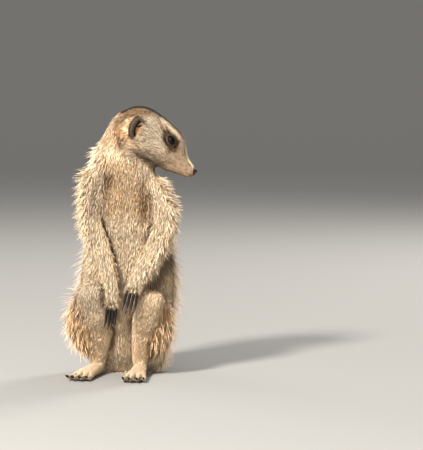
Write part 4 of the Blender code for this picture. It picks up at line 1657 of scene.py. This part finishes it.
def growing(points):
    # 1 where the coat grows, 0 on the lids, the lips, the nose and inside the ears
    grows = np.ones(len(points))
    for side in sides:
        away = np.linalg.norm(points - eyeMiddles[side], axis=1)
        grows *= np.where(away < 10 * mm, ease(openingShare(points, side), *barePlan["lids"]), 1)
        places = inEar(points, side)
        forward, up = ((places[:, :2] - barePlan["inEar"]) / barePlan["inEarHalves"]).T
        grows *= 1 - (1 - ease(np.hypot(forward, up), 0.85, 1.0)) * (np.abs(places[:, 2]) < 8)
    grows *= ease(noseShare(points, barePlan["noseMargin"]), *barePlan["nose"])
    places = inHead(points)
    lips = ease(mouthDistance(places), *barePlan["lips"])
    return grows * np.where(np.abs(places[:, 0]) < barePlan["lipsEnd"], lips, 1)


def tuftFaces(rings):
    # the corners of one tuft's faces: three faces round it between rings, three at the tip, one at the root
    tip = 3 * rings
    faces = [(3 * r + k, 3 * r + (k + 1) % 3, 3 * r + 3 + (k + 1) % 3, 3 * r + 3 + k)
             for r in range(rings - 1) for k in range(3)]
    faces += [(tip - 3 + k, tip - 3 + (k + 1) % 3, tip) for k in range(3)]
    return [*faces, (2, 1, 0)]


def repeatedMesh(name, points, faces):
    # many small forms with the same faces in one mesh: points is (forms, corners, 3)
    count, each, _ = points.shape
    offsets = np.arange(count)[:, None]
    pattern = np.concatenate(faces)
    sizes = [len(face) for face in faces]
    starts = np.cumsum([0, *sizes[:-1]])
    mesh = bpy.data.meshes.new(name)
    mesh.vertices.add(count * each)
    mesh.vertices.foreach_set("co", points.ravel())
    mesh.loops.add(count * len(pattern))
    mesh.loops.foreach_set("vertex_index", (offsets * each + pattern).ravel())
    mesh.polygons.add(count * len(sizes))
    mesh.polygons.foreach_set("loop_start", (offsets * len(pattern) + starts).ravel())
    mesh.update(calc_edges=True)
    mesh.shade_smooth()
    return mesh


def tuftMesh(name, curve, halfWidths, across, upward, places, tints, strand):
    # joined tufts: curve is (tufts, rings + 1, 3), each ring has three corners and the last point is the tip
    count, rings = curve.shape[0], curve.shape[1] - 1
    each = 3 * rings + 1
    points = np.empty((count, each, 3))
    for ring in range(rings):
        half = halfWidths[:, ring, None]
        points[:, 3 * ring] = curve[:, ring] + across * half
        points[:, 3 * ring + 1] = curve[:, ring] + upward * half * 0.8
        points[:, 3 * ring + 2] = curve[:, ring] - across * half
    points[:, -1] = curve[:, -1]
    faces = tuftFaces(rings)
    mesh = repeatedMesh(name, points, faces)

    # each tuft's patch on the unwrap: its width across, its length up
    steps = np.append(np.repeat(np.arange(rings) / rings, 3), 1.0)
    patch = np.stack((np.append(np.tile((-0.5, 0.0, 0.5), rings), 0.0), steps - 0.5), axis=1)
    patch[1::3, 1] += 0.1
    uv = places[:, None, :] + patch[np.concatenate(faces)] * coatPlan["patch"]
    mesh.uv_layers.new(name="OFBake").uv.foreach_set("vector", uv.astype(np.float32).ravel())

    tints = {label: np.repeat(values, each) for label, values in tints.items()}
    chance, shade = (np.repeat(values, each) for values in strand)
    setVector(mesh, "markings", (tints["dark"], tints["rust"], tints["pale"]))
    setVector(mesh, "strand", (np.tile(steps, count), chance, shade))
    setVector(mesh, "tone", (tints["grey"], tints["grizzle"], 0 * chance))
    mesh.materials.append(furMaterial)
    return mesh


def strayedWay(normals, dice):
    # the coat's lie, strayed a little by patches and by each hair, along the skin
    stray = sample.kind("stray")[:, None]
    byPatch, byTuft = coatPlan["strayed"]
    aside = byPatch * sample.read(swirls) + byTuft * dice.normal(size=normals.shape)
    return unit(alongSkin(sample.read(lie) + stray * aside, normals))


def offSkin(points):
    # how far points are off the skin, in millimetres; under it is less than 0
    away = np.empty(len(points))
    for number, point in enumerate(points):
        point = Vector(point)
        place, facing, _, _ = skinTree.find_nearest(point)
        away[number] = (point - place).dot(facing) / mm
    return away


def lockLeaders(mine, dice):
    # the locks: where each is rooted, its way, and how its tufts differ from the next lock's
    count = sample.scatter(mine / fromKinds(coatShares, "lock") ** 2, dice)
    normals = unit(sample.read(evenNormals))
    spiky = sample.read(spikes)
    proud = dice.random(count) < sample.kind("proud") + lockPlan["spiky"] * spiky
    proudLift = dice.uniform(*lockPlan["proudLifts"], count) + lockPlan["spikyLift"] * spiky
    lift = np.where(proud, proudLift, dice.uniform(*lockPlan["lifts"], count))
    length = dice.uniform(*lockPlan["lengths"], count) * np.where(proud, lockPlan["proudLonger"], 1.0)
    roots = sample.read(skinPoints)
    way = strayedWay(normals, dice)
    far = sample.kind("length") * length
    drop = np.clip(offSkin(roots + way * (far * mm)[:, None]), -1.5, 0.35 * far)
    return {
        "roots": roots,
        "normals": normals,
        "way": way,
        "length": length,
        "lift": lift,
        "bow": drop / far ** 2,
        "shade": dice.uniform(*lockPlan["shades"], count) * np.where(proud, lockPlan["proudLighter"], 1.0),
        "chance": dice.random(count),
        "sway": dice.normal(size=count),
        "phase": dice.uniform(0, 2 * math.pi, count),
    }


def drawnIn(points, way, stretch):
    # points drawn together along one way, so that the nearest lock is sought mostly across it
    return points - (points @ way)[:, None] * way * (1 - 1 / stretch)


def tuftForms(lead, dice):
    # each tuft's root and axes, and how far along the skin and how high over it its tip reaches
    roots = sample.read(skinPoints)
    normals = unit(sample.read(evenNormals))
    own = strayedWay(normals, dice)
    way = unit(alongSkin(own + (lead["way"] - own) * lockPlan["follow"], normals))
    length = sample.kind("length") * lead["length"] * dice.uniform(*coatPlan["lengths"], len(roots))
    length = length * (1 - coatPlan["shorter"] * lead["parted"])
    length *= 0.35 + 0.65 * ease(roots[:, 2] / mm, *coatPlan["ground"])
    height = sample.read(coatDepth) * lead["lift"] * dice.uniform(*coatPlan["heights"], len(roots))
    height = height * (1 - lockPlan["lower"] * lead["off"])
    height *= 1 - partPlan["lower"] * lead["parted"]
    height = np.minimum(height, coatPlan["tallest"] * length)
    reach = np.sqrt(length ** 2 - height ** 2)
    return roots, normals, way, length, height, reach


def lockPull(lead, roots, normals, way, height, reach):
    # how a tuft's end is drawn towards its lock's own tip
    baseLength = sample.kind("length")
    bow = lead["bow"][:, None]
    tall = np.minimum(sample.read(coatDepth) * lead["lift"], coatPlan["tallest"] * baseLength)
    tall = tall * (1 - partPlan["lower"] * lead["parted"])
    far = baseLength * lead["length"] * (1 - coatPlan["shorter"] * lead["parted"])
    rise = tall[:, None] - bow * far[:, None] ** 2 * 0.9
    lockTip = lead["roots"] + (lead["way"] * far[:, None] * 0.95 + lead["normals"] * rise) * mm
    out = (way * reach[:, None] + normals * (height[:, None] - bow * reach[:, None] ** 2)) * mm
    drawn = lockTip - roots - out
    pull = np.clip(sample.kind("pull"), 0, 0.95)[:, None]
    drawn = (drawn - way * ((drawn * way).sum(axis=1) * lockPlan["spread"])[:, None]) * pull
    return drawn - normals * np.minimum((drawn * normals).sum(axis=1), 0)[:, None]


def tuftCurve(lead, roots, normals, way, length, height, reach, rings):
    # a tuft from root to tip: it rises, waves sideways, bows with the skin and bends to its lock's tip
    across = np.cross(normals, way)
    bow = lead["bow"][:, None]
    drawn = lockPull(lead, roots, normals, way, height, reach)
    wave = sample.kind("wave")
    curve = []
    for step in np.arange(rings + 1) / rings:
        rise = height * step * (coatPlan["steep"] + (1 - coatPlan["steep"]) * step)
        sideways = wave * np.sin(lead["phase"] + coatPlan["curl"] * step) * step
        sideways = sideways + coatPlan["sway"] * lead["sway"] * length * step ** 2
        middle = way * (reach * step)[:, None] + normals * rise[:, None] + across * sideways[:, None]
        middle -= normals * (coatPlan["rooted"] * (1 - step) + bow * (reach * step)[:, None] ** 2)
        curve.append(roots + middle * mm + drawn * step ** 1.5)
    curve = np.stack(curve, axis=1)
    for ring in range(1, rings + 1):
        under = np.maximum(coatPlan["over"][ring] - offSkin(curve[:, ring]), 0)
        curve[:, ring] += normals * (np.minimum(under, 3.0) * mm)[:, None]
    curve[:, 1:, 2] = np.maximum(curve[:, 1:, 2], coatPlan["lowest"] * mm)
    return curve


def tuftStrand(lead, dice):
    # what tells tufts apart: the chance of a dark or pale tip, and the shade, which holds each lock's own
    # tone together with painted shade between locks, on the short coat and in the partings, and painted light
    count = len(lead["shade"])
    shade = lead["shade"] * dice.uniform(*coatPlan["tints"], count) * (1 - lockPlan["darker"] * lead["off"])
    shade = 1 + (shade - 1) * sample.kind("vary")
    shade = np.maximum(shade, coatPlan["dimmest"]) * (1 - coatPlan["flat"] * sample.read(onHead))
    shade *= (1 - partPlan["shade"] * lead["parted"]) * (1 + partPlan["light"] * sample.read(tones["light"]))
    chance = np.clip(0.6 * lead["chance"] + 0.4 * dice.random(count) + dice.normal(0, 0.1, count), 0, 1)
    return chance, shade


def growCoat(name, kinds, rings, side, seed):
    # one coat piece over the skin where these kinds of coat are the main ones, on one side or on both
    dice = np.random.default_rng(seed)
    mine = np.isin(coatShares.argmax(axis=1), [kindNames.index(kind) for kind in kinds]) * coatGrows
    if side:
        mine = mine * onBodySide(skinPoints, side)
        name += side.capitalize()
    stretch = lockPlan["stretch"][rings]
    locks = lockLeaders(mine / stretch, dice)
    count = sample.scatter(fromKinds(coatShares, "crowd") * mine * coatPlan["share"], dice)
    mainWay = unit((lie * mine[:, None]).sum(axis=0))
    ends = (drawnIn(points, mainWay, stretch) for points in (locks["roots"], sample.read(skinPoints)))
    number, away = nearest(*ends)
    lead = {label: values[number] for label, values in locks.items()}
    lead["off"] = np.clip(away / mm / sample.kind("lock"), 0, 1)
    lead["parted"] = sample.read(coatParting)
    roots, normals, way, length, height, reach = tuftForms(lead, dice)
    half = sample.kind("width") * dice.uniform(*coatPlan["widths"], count) / coatPlan["share"] ** 0.4
    halfWidths = half[:, None] * np.array(coatPlan["shape"][rings]) * mm
    curve = tuftCurve(lead, roots, normals, way, length, height, reach, rings)
    strand = tuftStrand(lead, dice)
    across = np.cross(normals, way)
    mesh = tuftMesh(name, curve, halfWidths, across, normals, sample.place(), sample.tints(), strand)
    addPiece(name, mesh)
    triangles = count * (6 * rings - 2)
    print(name, count, "tufts in", len(locks["shade"]), "locks,", triangles, "triangles")
    return triangles


spikePlan = {
    "out": (0.25, 0.7),  # how far a side faces out, from none to all of the spikes
    "below": (196, 206),  # heights on the neck where they end
    "wrist": (105, 120),  # heights on the right arm below which its inner side is smooth
    "wristInside": 2,  # across, which the right arm doesn't reach past
}

# what every coat piece reads
swirls = softNoise(skinPoints, 9, 21)
onHead = np.clip(shareOf(coatShares, "muzzle", "face", "ear"), 0, 1)
outward = (evenNormals @ bodyLeft) * np.sign(skinPoints @ bodyLeft + 7 * mm)
skinHeight = skinPoints[:, 2] / mm
wrist = (skinPoints[:, 0] < spikePlan["wristInside"] * mm) * (1 - ease(skinHeight, *spikePlan["wrist"]))
outward -= 2 * wrist
onArms = shareOf(coatShares, "arm", "neck")
belowHead = 1 - ease(skinHeight, *spikePlan["below"])
outerSides = ease(outward, *spikePlan["out"])
spikes = onArms * outerSides * belowHead
coatGrows = growing(skinPoints) * (1 - 0.85 * ease(coatParting, 0.55, 0.9))
sample = SkinSample()
skinTree = BVHTree.FromPolygons(skinPoints.tolist(), sample.corners.tolist())
total = 0
seed = 100
for name, (kinds, rings, slotName, paired) in coatPieces.items():
    for side in sides if paired else (None,):
        total += growCoat(name, kinds, rings, side, seed)
        seed += 1


guardPlan = {
    # kind: hairs to a square mm
    "crowd": {"flank": 0.24, "back": 0.02, "thigh": 0.06, "arm": 0.20, "neck": 0.10, "tail": 0.03},
    "lengths": (1.10, 1.60),  # of the coat's own length
    "lifts": (16, 52),  # degrees off the skin
    "half": 0.23,
    "spikeLift": 9,  # on the arms' outer sides
    "spikeLonger": 0.35,
    "stout": 0.75,  # how much stouter where they make the outline
    "shape": (0.8, 1.0, 0.8),  # a hair's width at each ring
    "widths": (0.8, 1.2),
    "bend": 0.06,
    "leftCrowd": 1.8,  # how many more on the left flank
}


def hairCurve(roots, way, upward, length, lift, rings, droop=0.25):
    # hairs that leave the skin at an angle and bend over towards their tips
    curve = []
    for step in np.arange(rings + 1) / rings:
        rise = np.sin(lift) * step * (1 + droop - droop * step)
        middle = way * (np.cos(lift) * step)[:, None] + upward * rise[:, None]
        curve.append(roots + middle * (length * mm)[:, None] - upward * 0.3 * mm * (1 - step))
    return np.stack(curve, axis=1)


def growGuards():
    # single hairs that stand off the coat and make its outline
    dice = np.random.default_rng(300)
    columns = np.array([guardPlan["crowd"].get(kind, 0.0) for kind in kindNames])
    crowd = (coatShares @ columns) * (1 - onArms * (1 - outerSides))
    crowd *= belowHead
    leftFlank = shareOf(coatShares, "flank") * ease(skinPoints[:, 0] / mm, 6, 16)
    crowd *= 1 + guardPlan["leftCrowd"] * leftFlank
    count = sample.scatter(crowd * coatGrows * coatPlan["share"], dice)
    normals = unit(sample.read(evenNormals))
    way = strayedWay(normals, dice)
    across = np.cross(normals, way)
    length = sample.kind("length") * dice.uniform(*guardPlan["lengths"], count)
    lift = np.radians(dice.uniform(*guardPlan["lifts"], count) + guardPlan["spikeLift"] * sample.read(spikes))
    length *= 1 + guardPlan["spikeLonger"] * sample.read(spikes)
    rings = len(guardPlan["shape"])
    curve = hairCurve(sample.read(skinPoints), way, normals, length, lift, rings)
    bend = across * (dice.normal(0, guardPlan["bend"], count) * length * mm)[:, None]
    curve += bend[:, None, :] * (np.arange(rings + 1) / rings)[None, :, None] ** 2
    curve[:, 1:, 2] = np.maximum(curve[:, 1:, 2], coatPlan["lowest"] * mm)
    outer = sample.read(shareOf(coatShares, "flank", "thigh"))
    stout = guardPlan["stout"] * sample.read(np.maximum(leftFlank, spikes))
    thick = guardPlan["half"] * (0.7 + 0.3 * outer + stout)
    halfWidths = thick[:, None] * dice.uniform(*guardPlan["widths"], count)[:, None]
    halfWidths = halfWidths * np.array(guardPlan["shape"]) * mm
    tints = sample.tints()
    tints["pale"] = np.clip(tints["pale"] + 0.2 + 0.3 * sample.read(shareOf(coatShares, "flank")), 0, 1)
    tints["dark"] = tints["dark"] * 0.5
    strand = (dice.uniform(0.4, 1.0, count), dice.uniform(0.8, 1.2, count) + 0.35 * outer)
    mesh = tuftMesh("guardHairs", curve, halfWidths, across, normals, sample.place(), tints, strand)
    addPiece("guardHairs", mesh)
    return count * (6 * rings - 2)


total += growGuards()


whiskerPlan = {
    # where: (back, up) middle, half lengths, count on each side, lengths, way (back, side, up)
    "pad": ((10.0, -5.5), (5.5, 3.0), 13, (17, 27), (0.62, 0.85, -0.28)),
    "brow": ((31.0, 17.0), (3.5, 1.2), 4, (9, 13), (0.10, 0.45, 0.95)),
    "cheek": ((44.0, -9.0), (2.5, 2.0), 3, (11, 16), (0.65, 0.75, -0.15)),
    "chin": ((14.0, -14.5), (4.0, 1.2), 4, (6, 10), (0.35, 0.35, -0.9)),
}
whiskerHalves = np.linspace(0.085, 0.04, 5)  # half widths from root to tip


def growWhiskers():
    dice = np.random.default_rng(400)
    places = inHead(skinPoints)
    rings = len(whiskerHalves)
    pointPlaces = np.zeros((len(skinPoints), 2))
    pointPlaces[sample.corners.ravel()] = sample.uvs.reshape(-1, 2)
    numbers, ways, lengths = [], [], []
    for (back, up), halves, count, (short, long), (along, aside, rise) in whiskerPlan.values():
        for sign in (1, -1):
            onSide = (places[:, 1] * sign > 2.5) & (np.abs(places[:, 1]) < 20)
            for _ in range(count):
                spot = (back, up) + dice.uniform(-1, 1, 2) * halves
                far = np.hypot(*(places[:, (0, 2)] - spot).T) + 99 * ~onSide
                number = int(far.argmin())
                way = along * headBack + sign * aside * headLeft + rise * headUp
                numbers.append(number)
                ways.append(unit(unit(way) + 0.45 * evenNormals[number] + dice.normal(0, 0.12, 3)))
                lengths.append(dice.uniform(short, long))
    roots, ways, lengths = skinPoints[numbers], np.array(ways), np.array(lengths)
    upward = unit(np.cross(ways, np.cross(headUp, ways)))
    across = np.cross(upward, ways)
    lift = np.full(len(roots), math.radians(10))
    curve = hairCurve(roots, ways, upward, lengths, lift, rings, 1.6)
    halfWidths = whiskerHalves[None, :] * np.ones((len(roots), 1)) * mm
    blank = np.zeros(len(roots))
    tints = {"dark": blank + 0.85, "rust": blank, "pale": blank, "grey": blank + 0.3, "grizzle": blank}
    places = pointPlaces[numbers]
    mesh = tuftMesh("whiskers", curve, halfWidths, across, upward, places, tints, (blank + 0.5, blank + 1.0))
    addPiece("whiskers", mesh)
    return len(roots) * (6 * rings - 2)


total += growWhiskers()
print("coat grown:", total, "triangles")
